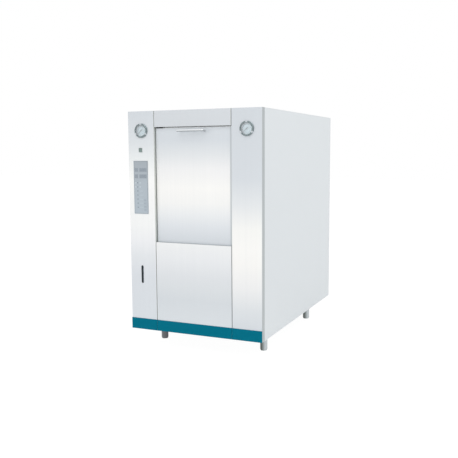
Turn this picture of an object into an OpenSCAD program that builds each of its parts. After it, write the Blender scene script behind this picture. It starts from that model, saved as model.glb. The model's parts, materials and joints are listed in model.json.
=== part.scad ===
// Cabinet steam autoclave with a door that slides down behind its lower front panel.
// X runs to the right as seen from the front, Y to the rear, Z up. The origin is on the floor,
// in the middle of the whole machine.

/* [Cabinet] */
// Width over the side panels
body_w = 1070; // [1050:5:1130]
// Depth from the front face to the rear panel
body_d = 1710; // [1690:5:1850]
// Height of the cabinet above its legs
body_h = 1640; // [1635:5:1720]
// Height of the legs under the cabinet
leg_h = 148; // [130:2:180]
// Thickness of the sheet-metal panels
sheet_t = 2; // [1.5:0.5:3]
// Side of the square frame tube
post_s = 40; // [32:1:44]
// Wall of the square frame tube
post_wall = 3; // [2:0.5:4]
// Inward depth of the lips that stiffen the panels' edges
lip_d = 15; // [12:1:18]
// Diameter of a leg
leg_d = 55; // [45:1:62]

/* [Front panels] */
// Width of the left column panel
left_col_w = 219; // [212:1:226]
// Width of the right column panel
right_col_w = 231; // [224:1:238]
// Gap between neighbouring front panels
seam = 2.5; // [2:0.5:6]
// Height of the panel above the door
top_panel_h = 118; // [110:1:130]
// Height of the panel below the door
lower_panel_h = 675; // [670:1:690]
// Height of the coloured band along the foot
band_h = 83; // [60:1:110]
// Thickness of the coloured band
band_t = 3; // [2:0.5:5]
// Depth of the columns' side returns
return_d = 45; // [38:1:50]

/* [Door] */
// How far the door's face lies behind the front panels
door_recess = 24; // [20:1:28]
// Gap above the closed door
door_top_gap = 9; // [6:1:14]
// Depth from the door's face to its pressure plate
door_box_d = 60; // [54:1:66]
// Thickness of the pressure plate
plate_t = 18; // [14:1:24]
// Distance between the handle's two posts
handle_len = 186; // [140:2:260]
// Diameter of the handle's bar
handle_d = 14; // [10:0.5:18]
// How far the handle reaches out from the door
handle_reach = 58; // [46:1:66]

/* [Vessel] */
// Room between the chamber and each side of the cabinet
vessel_side = 235; // [232:1:245]
// Inner height of the chamber
chamber_h = 600; // [580:2:606]
// Room between the chamber's rear plate and the cabinet's back
vessel_rear = 346; // [330:2:420]
// Wall of the chamber
chamber_wall = 6; // [4:1:8]
// Steam space between the chamber and its jacket
jacket_gap = 25; // [18:1:28]
// Wall of the jacket
jacket_wall = 5; // [4:0.5:7]
// Inner corner radius of the chamber
chamber_r = 60; // [40:2:80]
// Thickness of the insulation
insulation_t = 45; // [30:1:50]
// Number of shelves on the load rack
shelf_count = 2; // [1:1:3]

/* [Controls] */
// Diameter of the gauges over their bezels
gauge_d = 104; // [90:1:116]
// Distance of the gauges from the cabinet's sides
gauge_inset = 113; // [105:1:118]
// Distance of the gauges from the cabinet's top
gauge_drop = 142; // [120:1:150]
// Width of the control panel
panel_w = 120; // [100:1:130]
// Height of the control panel
panel_h = 394; // [380:1:420]
// Width of the level slot
slot_w = 21; // [16:1:26]
// Height of the level slot
slot_h = 136; // [110:1:160]

/* [Services] */
// Diameter of the steam generator
generator_d = 340; // [300:5:360]
// Length of the steam generator's shell
generator_len = 560; // [500:5:620]
// Outer diameter of the main pipes
pipe_d = 34; // [26:1:40]
// How far the rear connections stand out
stub_out = 50; // [34:1:60]

/* [Hidden] */
$fn = 64;

// Overrun of every cut past the face that it opens
over = 1;
// Gap between two pieces that are screwed or welded together
seat = 0.3;
// Running clearance round a shaft, rod or shoe
run = 0.06;
// Inner radius of the sheet bends
bend_in = 2;
bend_out = bend_in + sheet_t;

// The cabinet's faces
handle_out = handle_reach - door_recess;
front_y = handle_out - (body_d + handle_out + stub_out) / 2;
rear_y = front_y + body_d;
left_x = -body_w / 2;
right_x = body_w / 2;
bottom_z = leg_h;
top_z = leg_h + body_h;
// Gap between a column's return and the side panel behind it
panel_gap = 3;
side_y0 = front_y + return_d + panel_gap;
side_y1 = rear_y - sheet_t - seat;
side_top = top_z - sheet_t - seat;

// The frame
post_left = left_x + lip_d + seat;
post_right = right_x - lip_d - seat;
post_front = front_y + return_d + seat;
post_rear = rear_y - sheet_t - seat - post_s;
frame_z = bottom_z + sheet_t + seat;
rail_top = frame_z + post_s;
inner_left = post_left + post_s;
inner_right = post_right - post_s;

// The door opening, between the two columns
open_left = left_x + left_col_w;
open_right = right_x - right_col_w;
open_bottom = bottom_z + lower_panel_h;
open_top = top_z - top_panel_h;
door_x = (open_left + open_right) / 2;
skin_w = open_right - open_left - 2 * seam;
// How far the door's foot reaches behind the lower panel
skin_lap = 10;
skin_bottom = open_bottom - skin_lap;
skin_top = open_top - door_top_gap;
skin_y = front_y + door_recess;
plate_y = skin_y + door_box_d;

// The chamber and the plate that closes it
// Depth of the chamber's mouth below the top of the door opening
mouth_drop = 30;
// How far the plate laps over the mouth's edges
plate_lap = 50;
// Width of the end frame round the mouth
ring_lap = 45;
// Length of the end frame
ring_d = 60;
// Gap between the plate and the end frame
door_gap = 2;
chamber_w = body_w - 2 * vessel_side;
mouth_top = open_top - mouth_drop;
mouth_bottom = mouth_top - chamber_h;
chamber_z = mouth_top - chamber_h / 2;
plate_w = chamber_w + 2 * plate_lap;
plate_top = mouth_top + plate_lap;
plate_bottom = mouth_bottom - plate_lap;
ring_y = plate_y + plate_t + door_gap;
shell_y = ring_y + ring_d;
shell_end = rear_y - vessel_rear;
// Thickness of the chamber's rear plate
end_plate_t = 10;
end_y = shell_end + end_plate_t;
door_travel = chamber_h + plate_lap;

chamber_ow = chamber_w + 2 * chamber_wall;
chamber_oh = chamber_h + 2 * chamber_wall;
chamber_or = chamber_r + chamber_wall;
jacket_iw = chamber_ow + 2 * jacket_gap;
jacket_ih = chamber_oh + 2 * jacket_gap;
jacket_ir = chamber_or + jacket_gap;
jacket_ow = jacket_iw + 2 * jacket_wall;
jacket_oh = jacket_ih + 2 * jacket_wall;
jacket_or = jacket_ir + jacket_wall;
jacket_bottom = chamber_z - jacket_oh / 2;

// A box between two corners
module box(low, high) {
    translate(low) cube(high - low);
}

// A box whose two X values may come in either order
module span_box(xa, xb, y0, y1, z0, z1) {
    box([min(xa, xb), y0, z0], [max(xa, xb), y1, z1]);
}

// A flat outline in X and Z, made solid between two depths
module along_y(y0, y1) {
    translate([0, y1, 0]) rotate([90, 0, 0]) linear_extrude(height = y1 - y0) children();
}

// Things on the front: local X to the right, local Y up, local Z out towards the user
module on_front(x, z, y = front_y) {
    translate([x, y, z]) rotate([90, 0, 0]) children();
}

// A rectangle with round corners, centred
module round_rect(w, h, r) {
    square([w - 2 * r, h], center = true);
    square([w, h - 2 * r], center = true);
    for (x = [-1, 1], y = [-1, 1]) translate([x * (w / 2 - r), y * (h / 2 - r)]) circle(r);
}

// A tube of round-cornered section along Y, centred on the chamber's axis
module vessel_tube(y0, y1, w, h, r, wall) {
    translate([door_x, 0, chamber_z]) along_y(y0, y1) difference() {
        round_rect(w, h, r);
        round_rect(w - 2 * wall, h - 2 * wall, r - wall);
    }
}

// A quarter of a sheet bend, with its outer corner at the origin
module bend_2d() {
    intersection() {
        translate([bend_out, bend_out]) difference() {
            circle(bend_out);
            circle(bend_in);
        }
        square(bend_out);
    }
}

// A folded sheet seen on edge: a web along X with a return at each end
module channel_2d(len, start_return, end_return) {
    translate([bend_out, 0]) square([len - 2 * bend_out, sheet_t]);
    bend_2d();
    translate([len, 0]) mirror([1, 0]) bend_2d();
    translate([0, bend_out]) square([sheet_t, start_return - bend_out]);
    translate([len - sheet_t, bend_out]) square([sheet_t, end_return - bend_out]);
}

// A square tube along Z from the origin
module square_tube(len) {
    difference() {
        cube([post_s, post_s, len]);
        translate([post_wall, post_wall, -over])
            cube([post_s - 2 * post_wall, post_s - 2 * post_wall, len + 2 * over]);
    }
}

module tube_x(x0, x1, y, z) {
    translate([x0, y, z + post_s]) rotate([0, 90, 0]) square_tube(x1 - x0);
}

module tube_y(y0, y1, x, z) {
    translate([x, y1, z]) rotate([90, 0, 0]) square_tube(y1 - y0);
}

// A round bar between two points
module bar(a, b, r) {
    d = b - a;
    translate(a) rotate([0, acos(d.z / norm(d)), atan2(d.y, d.x)]) cylinder(h = norm(d), r = r);
}

// A hexagon nut with its bore
module nut(across, bore_r, h) {
    difference() {
        cylinder(h = h, r = across / 2 / cos(30), $fn = 6);
        translate([0, 0, -over]) cylinder(h = h + 2 * over, r = bore_r);
    }
}

// FRAME

module corner_posts() {
    color([0.62, 0.65, 0.67])
    for (x = [post_left, inner_right], y = [post_front, post_rear])
        translate([x, y, frame_z]) square_tube(side_top - frame_z);
}

// Distance of the front legs behind the front, and of the rear legs ahead of the rear
leg_front = 308;
leg_rear = 352;
// Distance of the legs from the sides
leg_inset = 108;
leg_ys = [front_y + leg_front, rear_y - leg_rear];
leg_xs = [left_x + leg_inset, right_x - leg_inset];
// The front cross rail lies just behind the door's path
cross_gap = 4;
cross_y = ring_y + cross_gap;
// The steam generator stands on the front leg carrier and on a cross rail of its own
gen_gap = 30;
gen_lead = 6;
gen_y0 = leg_ys[0] - gen_lead;
gen_foot_lead = 80;
gen_foot_ys = [leg_ys[0] + 2 * gen_lead, gen_y0 + generator_len - gen_foot_lead];
tray_lip = 20;
tray_inset = 12;
tray_right = door_x - tray_inset;

module base_rails() {
    color([0.62, 0.65, 0.67]) {
        for (x = [post_left, inner_right])
            tube_y(post_front + post_s + seat, post_rear - seat, x, frame_z);
        for (y = [cross_y, leg_ys[0] - post_s / 2, gen_foot_ys[1] - post_s / 2, leg_ys[1] - post_s / 2])
            tube_x(inner_left + seat, inner_right - seat, y, frame_z);
        tube_x(inner_left + seat, inner_right - seat, post_rear, frame_z);
        equipment_tray();
    }
}

// The folded tray that carries the pumps
module equipment_tray() {
    low = [inner_left + tray_inset, cross_y + post_s + tray_inset, rail_top + seat];
    high = [tray_right, post_rear - tray_inset, rail_top + seat + tray_lip];
    difference() {
        box(low, high);
        box([low.x + sheet_t, low.y + sheet_t, low.z + sheet_t],
            [high.x - sheet_t, high.y - sheet_t, high.z + over]);
    }
}
tray_z = rail_top + seat + sheet_t;

// Height of the saddles between the bearers and the jacket
saddle_h = 84;
saddle_t = 12;
saddle_inset = 116;
saddle_w = jacket_ow - 2 * saddle_inset;
bearer_z = jacket_bottom - saddle_h - post_s;
bearer_front = 130;
bearer_back = 170;
bearer_ys = [shell_y + bearer_front, shell_end - bearer_back];

module vessel_bearers() {
    color([0.62, 0.65, 0.67]) {
        for (x = [post_left, inner_right])
            tube_y(post_front + post_s + seat, post_rear - seat, x, bearer_z);
        for (y = bearer_ys) {
            tube_x(inner_left + seat, inner_right - seat, y - post_s / 2, bearer_z);
            saddle(y);
        }
    }
}

// An upright plate with a foot flange and two gussets
module saddle(y) {
    z0 = bearer_z + post_s + seat;
    translate([door_x, y, 0]) {
        translate([0, saddle_t / 2, 0]) rotate([90, 0, 0]) linear_extrude(height = saddle_t)
            polygon([[-saddle_w / 2, z0], [saddle_w / 2, z0],
                     [saddle_w / 2 - saddle_h / 2, jacket_bottom - seat],
                     [saddle_h / 2 - saddle_w / 2, jacket_bottom - seat]]);
        box([-saddle_w / 2, -post_s / 2, z0], [saddle_w / 2, post_s / 2, z0 + saddle_t / 2]);
    }
}

module top_rails() {
    z = side_top - post_s;
    color([0.62, 0.65, 0.67]) {
        for (x = [post_left, inner_right])
            tube_y(post_front + post_s + seat, post_rear - seat, x, z);
        for (y = [post_front, post_rear])
            tube_x(inner_left + seat, inner_right - seat, y, z);
    }
}

// Sizes of a leg, from the floor up
foot_h = 8;
foot_inset = 3;
spindle_r = 8;
neck_h = 22;
flange_w = 84;
flange_t = 8;
nut_h = 10;
nut_across = 26;
leg_top = frame_z - seat;

module legs() {
    shank = leg_top - flange_t - neck_h;
    color([0.75, 0.77, 0.79])
    for (x = leg_xs, y = leg_ys) translate([x, y, 0]) rotate_extrude() polygon([
        [0, 0], [leg_d / 2 - foot_inset, 0], [leg_d / 2 - foot_inset, foot_h], [leg_d / 2, foot_h],
        [leg_d / 2, shank - foot_inset], [leg_d / 2 - foot_inset, shank], [spindle_r, shank],
        [spindle_r, leg_top - flange_t], [flange_w / 2, leg_top - flange_t], [flange_w / 2, leg_top],
        [0, leg_top]]);
}

module leg_locknuts() {
    color([0.7, 0.7, 0.72])
    for (x = leg_xs, y = leg_ys)
        translate([x, y, leg_top - flange_t - nut_h - seat]) nut(nut_across, spindle_r + run, nut_h);
}

// PANELS

// A side panel with lips on all four edges; its outer face is at X = 0 and its lips point to +X
module side_pan() {
    len = side_y1 - side_y0;
    translate([0, side_y1, bottom_z]) rotate([0, 0, -90])
        linear_extrude(height = side_top - bottom_z) channel_2d(len, lip_d, lip_d);
    for (z = [bottom_z, side_top - sheet_t])
        box([sheet_t / 2, side_y0 + bend_out, z], [lip_d, side_y1 - bend_out, z + sheet_t]);
}

module left_side_panel() {
    color([0.87, 0.89, 0.89]) translate([left_x, 0, 0]) side_pan();
}

module right_side_panel() {
    color([0.87, 0.89, 0.89]) translate([right_x, 0, 0]) mirror([1, 0, 0]) side_pan();
}

module top_panel() {
    color([0.87, 0.89, 0.89]) box([left_x, side_y0, top_z - sheet_t], [right_x, rear_y, top_z]);
}

// The louvres of the rear panel: pressed hoods over slots
louvre_w = 220;
louvre_slot = 9;
louvre_out = 9;
louvre_pitch = 28;
louvre_rows = 9;
louvre_bank_gap = 130;
louvre_top_drop = 190;
louvre_low_z = 420;

module louvre_cut() {
    translate([-louvre_w / 2, -sheet_t - over, 0]) cube([louvre_w, sheet_t + 2 * over, louvre_slot]);
}

module louvre_hood() {
    rise = louvre_slot + louvre_out;
    translate([-louvre_w / 2 - sheet_t, 0, 0]) rotate([90, 0, 90])
        linear_extrude(height = louvre_w + 2 * sheet_t) polygon([
            [-sheet_t / 2, rise], [0, rise], [louvre_out, louvre_slot / 2], [louvre_out, 0],
            [louvre_out - sheet_t, 0], [louvre_out - sheet_t, louvre_slot / 2 - sheet_t / 2],
            [0, louvre_slot + sheet_t / 2], [-sheet_t / 2, louvre_slot + sheet_t / 2]]);
}

module each_louvre() {
    for (side = [-1, 1], row = [0 : louvre_rows - 1], base = [bottom_z + louvre_low_z,
             top_z - louvre_top_drop - louvre_rows * louvre_pitch])
        translate([side * (louvre_w + louvre_bank_gap) / 2, rear_y, base + row * louvre_pitch])
            children();
}

module rear_panel() {
    color([0.85, 0.87, 0.88]) {
        difference() {
            box([left_x, rear_y - sheet_t, bottom_z], [right_x, rear_y, side_top]);
            each_louvre() louvre_cut();
            for (c = rear_points)
                translate([c[0], rear_y, c[1]]) rotate([90, 0, 0]) translate([0, 0, -over])
                    cylinder(h = sheet_t + 2 * over, r = c[2] + seat);
        }
        each_louvre() louvre_hood();
    }
}

// How far a column's inner return reaches past the door's face, beside the door
return_lap = 12;

// A column's folded sheet: local X from its outer edge inwards, local Y to the rear
module column_pan(w) {
    translate([0, 0, bottom_z]) linear_extrude(height = body_h) {
        channel_2d(w, return_d, door_recess + return_lap);
        translate([sheet_t / 2, return_d - sheet_t]) square([lip_d - sheet_t / 2, sheet_t]);
    }
    for (z = [bottom_z, top_z - sheet_t])
        box([sheet_t / 2, sheet_t / 2, z], [w - sheet_t / 2, door_recess - bend_in, z + sheet_t]);
    box([sheet_t / 2, sheet_t / 2, top_z - sheet_t], [w - sheet_t / 2, return_d, top_z]);
}

// Places and sizes of what the left column carries
gauge_z = top_z - gauge_drop;
gauge_xs = [left_x + gauge_inset, right_x - gauge_inset];
panel_inset = 43;
panel_drop = 363;
panel_x = left_x + panel_inset + panel_w / 2;
panel_z = top_z - panel_drop - panel_h / 2;
panel_rim = 5;
switch_inset = 104;
switch_drop = 284;
switch_x = left_x + switch_inset;
switch_z = top_z - switch_drop;
switch_w = 28;
switch_h = 32;
slot_inset = 100;
slot_rise = 424;
slot_x = left_x + slot_inset;
slot_z = bottom_z + slot_rise;

// The gauge, from its axis outwards and from the panel's face to the front
gauge_r = gauge_d / 2;
bezel_wall = 5;
bezel_lip = 10;
bezel_out = 11;
bezel_t = 2;
case_r = gauge_r - bezel_wall - seat;
case_wall = 3;
case_back = 42;
lens_t = 1.7;
case_front = bezel_out - bezel_t - lens_t - 2 * seat;
dial_t = 2;
dial_z = 0;
arbor_r = 1.5;
arbor_len = 14;
pointer_t = 1;
pointer_z = 4;
pointer_len = 36;
pointer_tail = 13;
pointer_hub = 4;
pointer_half = 2;
// The pointers stand at zero, low on the left; the angle is measured up from the right
pointer_angle = 220;

module slot_2d(w, h) {
    square([w, h - w], center = true);
    for (s = [-1, 1]) translate([0, s * (h - w) / 2]) circle(w / 2);
}

module front_cut(x, z) {
    on_front(x, z, front_y + sheet_t + over) linear_extrude(height = sheet_t + 2 * over) children();
}

module left_column_panel() {
    color([0.88, 0.9, 0.92]) difference() {
        translate([left_x, front_y, 0]) column_pan(left_col_w);
        front_cut(gauge_xs[0], gauge_z) circle(case_r + seat);
        front_cut(switch_x, switch_z) square([switch_w - panel_rim, switch_h - panel_rim], center = true);
        front_cut(panel_x, panel_z) square([panel_w - 2 * panel_rim, panel_h - 2 * panel_rim], center = true);
        front_cut(slot_x, slot_z) slot_2d(slot_w, slot_h);
    }
}

module right_column_panel() {
    color([0.88, 0.9, 0.92]) difference() {
        translate([right_x, front_y, 0]) mirror([1, 0, 0]) column_pan(right_col_w);
        front_cut(gauge_xs[1], gauge_z) circle(case_r + seat);
    }
}

// A folded centre panel between two heights
module centre_pan(z0, z1, top_depth, foot_depth) {
    fold = door_recess - bend_in;
    translate([open_left + seam, front_y, z0]) {
        linear_extrude(height = z1 - z0) channel_2d(skin_w, fold, fold);
        box([sheet_t / 2, sheet_t / 2, z1 - z0 - sheet_t], [skin_w - sheet_t / 2, top_depth, z1 - z0]);
        box([sheet_t / 2, sheet_t / 2, 0], [skin_w - sheet_t / 2, foot_depth, sheet_t]);
    }
}

module top_centre_panel() {
    color([0.85, 0.87, 0.9]) centre_pan(open_top, top_z, return_d, door_recess - bend_in);
}

module lower_centre_panel() {
    fold = door_recess - bend_in;
    color([0.88, 0.89, 0.91]) centre_pan(bottom_z, open_bottom, fold, fold);
}

module kick_bands() {
    color([0.02, 0.46, 0.55])
    for (span = [[left_x, open_left], [open_left + seam, open_right - seam], [open_right, right_x]])
        box([span[0], front_y - band_t, bottom_z], [span[1], front_y - seat / 2, bottom_z + band_h]);
}

// Spacers that join the returns of two neighbouring panels
clip_h = 24;
clip_d = 10;
clip_share = [0.06, 0.2, 0.36, 0.95];

module seam_clips() {
    y0 = front_y + door_recess - bend_in - clip_d - bend_in;
    color([0.55, 0.57, 0.6])
    for (x = [open_left, open_right - seam], share = clip_share)
        box([x + seat, y0, bottom_z + share * body_h],
            [x + seam - seat, y0 + clip_d, bottom_z + share * body_h + clip_h]);
}

// GAUGES

module gauge_case() {
    difference() {
        union() {
            translate([0, 0, -case_back]) cylinder(h = case_back + case_front, r = case_r);
            translate([0, 0, -case_back - bezel_out]) cylinder(h = bezel_out + over, r = bezel_lip);
        }
        translate([0, 0, dial_z - dial_t - seat]) cylinder(h = case_back, r = case_r - case_wall);
        translate([0, 0, pointer_z - arbor_len - seat]) cylinder(h = arbor_len, r = arbor_r + run);
    }
}

module gauge_cases() {
    color([0.35, 0.37, 0.39]) for (x = gauge_xs) on_front(x, gauge_z) gauge_case();
}

// A turned ring with a rolled edge, a lip over the glass and three screw lugs
lug_r = 3.2;
lug_count = 3;
roll_steps = 6;

module gauge_bezel() {
    roll = bezel_wall / 2;
    edge = [for (k = [0 : roll_steps]) let (a = 90 * k / roll_steps)
        [gauge_r - roll + roll * cos(a), bezel_out - roll + roll * sin(a)]];
    rotate_extrude() polygon(concat([[gauge_r - bezel_wall, seat / 2], [gauge_r, seat / 2]], edge,
        [[gauge_r - bezel_lip, bezel_out], [gauge_r - bezel_lip, bezel_out - bezel_t],
         [gauge_r - bezel_wall, bezel_out - bezel_t]]));
    for (k = [0 : lug_count - 1]) rotate([0, 0, 90 + k * 360 / lug_count])
        translate([gauge_r - roll - lug_r - seat, 0, bezel_out - bezel_t / 2])
            cylinder(h = bezel_t, r = lug_r);
}

module gauge_bezels() {
    color([0.45, 0.48, 0.5]) for (x = gauge_xs) on_front(x, gauge_z) gauge_bezel();
}

module gauge_dials() {
    color([0.85, 0.93, 0.95]) for (x = gauge_xs) on_front(x, gauge_z) difference() {
        translate([0, 0, dial_z - dial_t]) cylinder(h = dial_t, r = case_r - case_wall - seat);
        translate([0, 0, dial_z - dial_t - over]) cylinder(h = dial_t + 2 * over, r = arbor_r + 2 * seat);
    }
}

module gauge_lenses() {
    color([0.8, 0.9, 0.95, 0.35])
    for (x = gauge_xs) on_front(x, gauge_z)
        translate([0, 0, case_front + seat]) cylinder(h = lens_t, r = case_r);
}

// A tapered pointer with a counterweight tail, on an arbor that runs in the case
module pointer() {
    translate([0, 0, pointer_z]) rotate([0, 0, pointer_angle]) {
        linear_extrude(height = pointer_t) {
            polygon([[0, pointer_half], [pointer_len, pointer_t / 2], [pointer_len, -pointer_t / 2],
                     [0, -pointer_half]]);
            polygon([[0, -pointer_half / 2], [-pointer_tail, -pointer_half], [-pointer_tail, pointer_half],
                     [0, pointer_half / 2]]);
            circle(pointer_hub);
        }
        cylinder(h = 2 * pointer_t, r = pointer_hub / 2);
    }
    translate([0, 0, pointer_z - arbor_len]) cylinder(h = arbor_len + pointer_t / 2, r = arbor_r);
}

module left_pointer() {
    color([0.25, 0.28, 0.3]) on_front(gauge_xs[0], gauge_z) pointer();
}

module right_pointer() {
    color([0.25, 0.28, 0.3]) on_front(gauge_xs[1], gauge_z) pointer();
}

// CONTROLS

// The power switch: a bezel with a box behind it, and a rocker on two trunnions
bezel_proud = 2.5;
switch_back = 24;
rocker_depth = 14;
rocker_w = 19;
rocker_h = 23;
rocker_gap = 0.6;
rocker_tilt = 8;
trunnion_r = 2;
trunnion_len = 1.4;
trunnion_z = -6;

module switch_bezel() {
    hole = [rocker_w + 2 * rocker_gap, rocker_h + 2 * rocker_gap];
    color([0.14, 0.17, 0.17]) on_front(switch_x, switch_z) difference() {
        union() {
            translate([0, 0, seat / 2]) linear_extrude(height = bezel_proud)
                round_rect(switch_w, switch_h, bezel_proud);
            translate([0, 0, -switch_back]) linear_extrude(height = switch_back + bezel_proud / 2)
                square([switch_w - panel_rim - 2 * seat, switch_h - panel_rim - 2 * seat], center = true);
        }
        translate([0, 0, -rocker_depth]) linear_extrude(height = 2 * switch_back)
            square(hole, center = true);
        translate([-rocker_w / 2 - trunnion_len - run, 0, trunnion_z]) rotate([0, 90, 0])
            cylinder(h = rocker_w + 2 * trunnion_len + 2 * run, r = trunnion_r + run);
    }
}

// The rocker's face is two flats that meet over its pivot
module power_rocker() {
    lift = rocker_h / 2 * sin(rocker_tilt);
    color([0.2, 0.26, 0.25]) on_front(switch_x, switch_z) translate([0, 0, trunnion_z])
    rotate([rocker_tilt, 0, 0]) {
        translate([-rocker_w / 2, 0, 0]) rotate([90, 0, 90]) linear_extrude(height = rocker_w)
            polygon([[-rocker_h / 2 + rocker_gap, 2 * lift], [-rocker_h / 4, trunnion_z / 2],
                     [rocker_h / 4, trunnion_z / 2], [rocker_h / 2 - rocker_gap, 2 * lift],
                     [rocker_h / 2 - rocker_gap, -trunnion_z + 2 * lift], [0, -trunnion_z],
                     [-rocker_h / 2 + rocker_gap, -trunnion_z + 2 * lift]]);
        translate([-rocker_w / 2 - trunnion_len, 0, 0]) rotate([0, 90, 0])
            cylinder(h = rocker_w + 2 * trunnion_len, r = trunnion_r);
    }
}

// The control panel, with places as shares of its width and height from its lower left corner
face_t = 3;
face_r = 3;
housing_back = return_d - sheet_t;
display_h = 30;
display_y_share = [0.71, 0.83];
display_small_share = [0.075, 0.31];
display_wide_share = [0.4, 0.93];
lamp_r = 3.2;
lamp_count = 7;
lamp_x_share = 0.27;
lamp_low_share = 0.125;
lamp_high_share = 0.585;
lamp_out = 1;
key_w = 20;
key_h = 13;
key_x_share = 0.785;
key_low_share = 0.075;
key_high_share = 0.26;
key_out = 0.6;
key_count = 4;

function face_x(share) = (share - 0.5) * panel_w;
function face_y(share) = (share - 0.5) * panel_h;
function lamp_y(k) = face_y(lamp_low_share + (lamp_high_share - lamp_low_share) * k / (lamp_count - 1));
function key_y(k) = face_y(key_low_share + (key_high_share - key_low_share) * k / (key_count - 1));

module display_2d(span_share, grow) {
    w = face_x(span_share[1]) - face_x(span_share[0]);
    for (y_share = display_y_share)
        translate([face_x(span_share[0]) + w / 2, face_y(y_share)])
            square([w + 2 * grow, display_h + 2 * grow], center = true);
}

module control_face() {
    color([0.68, 0.72, 0.76]) on_front(panel_x, panel_z) translate([0, 0, seat / 2]) difference() {
        linear_extrude(height = face_t) round_rect(panel_w, panel_h, face_r);
        translate([0, 0, -over]) linear_extrude(height = face_t + 2 * over) {
            display_2d(display_small_share, 0);
            display_2d(display_wide_share, 0);
            for (k = [0 : lamp_count - 1]) translate([face_x(lamp_x_share), lamp_y(k)]) circle(lamp_r);
            for (k = [0 : key_count - 1])
                translate([face_x(key_x_share), key_y(k)]) square([key_w, key_h], center = true);
        }
    }
}

module control_housing() {
    w = panel_w - 2 * panel_rim - 2 * seat;
    h = panel_h - 2 * panel_rim - 2 * seat;
    color([0.75, 0.76, 0.77]) on_front(panel_x, panel_z) translate([0, 0, -housing_back])
        linear_extrude(height = housing_back - seat) round_rect(w, h, face_r);
}

// Four display windows and a row of lamps
module panel_indicators() {
    color([0.5, 0.56, 0.62]) on_front(panel_x, panel_z) {
        linear_extrude(height = face_t + seat / 2) {
            display_2d(display_small_share, -seat);
            display_2d(display_wide_share, -seat);
        }
        for (k = [0 : lamp_count - 1]) translate([face_x(lamp_x_share), lamp_y(k), 0])
            cylinder(h = face_t + lamp_out, r = lamp_r - seat);
    }
}

module panel_key(k) {
    color([0.6, 0.64, 0.68]) on_front(panel_x, panel_z)
        translate([face_x(key_x_share), key_y(k), face_t / 2])
            linear_extrude(height = face_t / 2 + key_out)
                round_rect(key_w - 2 * seat, key_h - 2 * seat, face_r);
}

module key_1() {
    panel_key(3);
}

module key_2() {
    panel_key(2);
}

module key_3() {
    panel_key(1);
}

module key_4() {
    panel_key(0);
}

// The water level gauge behind the slot: a dark shield, two fittings and a glass tube
shield_d = 36;
shield_margin = 9;
glass_r = 7;
glass_wall = 1.5;
fitting_h = 16;

module level_gauge() {
    w = slot_w + 2 * shield_margin;
    h = slot_h + 2 * shield_margin + 2 * fitting_h;
    color([0.15, 0.18, 0.2]) on_front(slot_x, slot_z, front_y + sheet_t + seat) difference() {
        translate([0, 0, -shield_d]) linear_extrude(height = shield_d) square([w, h], center = true);
        translate([0, 0, sheet_t - shield_d]) linear_extrude(height = shield_d)
            square([w - 2 * sheet_t, h - 2 * sheet_t], center = true);
    }
    for (s = [-1, 1])
        color([0.75, 0.6, 0.3]) on_front(slot_x, slot_z + s * (h / 2 - sheet_t - seat - fitting_h / 2),
                                         front_y + sheet_t + shield_d / 2)
            cube([w - 2 * sheet_t - 2 * seat, fitting_h, fitting_h], center = true);
    color([0.5, 0.6, 0.65, 0.5])
    translate([slot_x, front_y + sheet_t + shield_d / 2, slot_z]) difference() {
        cylinder(h = h - 2 * sheet_t - 2 * fitting_h - 4 * seat, r = glass_r, center = true);
        cylinder(h = h, r = glass_r - glass_wall, center = true);
    }
}

// VESSEL

// Ports of the chamber's rear plate: sideways and upwards from the chamber's axis
port_len = 66;
port_wall = 3;
port_side = 170;
port_high = 190;
port_low = 245;
drain_port = [0, -port_low];
air_port = [-port_side, port_high];
relief_port = [port_side, port_high];
chamber_ports = [drain_port, air_port, relief_port];
// The jacket's two ports lie in the middle of its steam space
jacket_port_r = jacket_gap * 0.4;
jacket_port_x = jacket_iw / 2 - jacket_gap / 2;
jacket_ports = [[jacket_port_x, 0], [-jacket_port_x, 0]];
port_end = shell_end + port_len;

module rear_port(at, y0) {
    translate([door_x + at.x, y0, chamber_z + at.y]) rotate([-90, 0, 0]) children();
}

module chamber() {
    color([0.78, 0.8, 0.82]) difference() {
        union() {
            vessel_tube(shell_y + seat, shell_end, chamber_ow, chamber_oh, chamber_or, chamber_wall);
            translate([door_x, 0, chamber_z]) along_y(shell_end - over, end_y)
                round_rect(chamber_ow, chamber_oh, chamber_or);
            for (p = chamber_ports) rear_port(p, shell_end) cylinder(h = port_len, r = pipe_d / 2);
        }
        for (p = chamber_ports) rear_port(p, shell_end - 2 * over)
            cylinder(h = port_len + 4 * over, r = pipe_d / 2 - port_wall);
    }
}

// The jacket's shell, its closing ring and the stay ribs between shell and chamber
rib_count = 4;
rib_t = 6;

module jacket() {
    gap = jacket_gap - seat;
    step = (shell_end - shell_y) / (rib_count + 1);
    color([0.7, 0.72, 0.74]) difference() {
        union() {
            vessel_tube(shell_y + seat, shell_end, jacket_ow, jacket_oh, jacket_or, jacket_wall);
            vessel_tube(shell_end - rib_t, shell_end, jacket_ow, jacket_oh, jacket_or, jacket_wall + gap);
            for (k = [1 : rib_count])
                vessel_tube(shell_y + k * step - rib_t / 2, shell_y + k * step + rib_t / 2,
                            jacket_ow, jacket_oh, jacket_or, jacket_wall + gap);
            for (p = jacket_ports) rear_port(p, shell_end - over)
                cylinder(h = port_len + over, r = jacket_port_r);
        }
        for (p = jacket_ports) rear_port(p, shell_end - rib_t - over)
            cylinder(h = port_len + rib_t + 2 * over, r = jacket_port_r - port_wall);
    }
}

// The end frame has a groove in its front face for the door gasket
ring_r = 20;
gasket_w = 16;
gasket_d = 14;
ring_w = chamber_w + 2 * ring_lap;
ring_h = chamber_h + 2 * ring_lap;

module ring_groove(y0, y1, slack) {
    inset = (ring_lap - gasket_w) / 2 - slack;
    r = chamber_r + (ring_lap + gasket_w) / 2 + slack;
    vessel_tube(y0, y1, ring_w - 2 * inset, ring_h - 2 * inset, r, gasket_w + 2 * slack);
}

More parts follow.
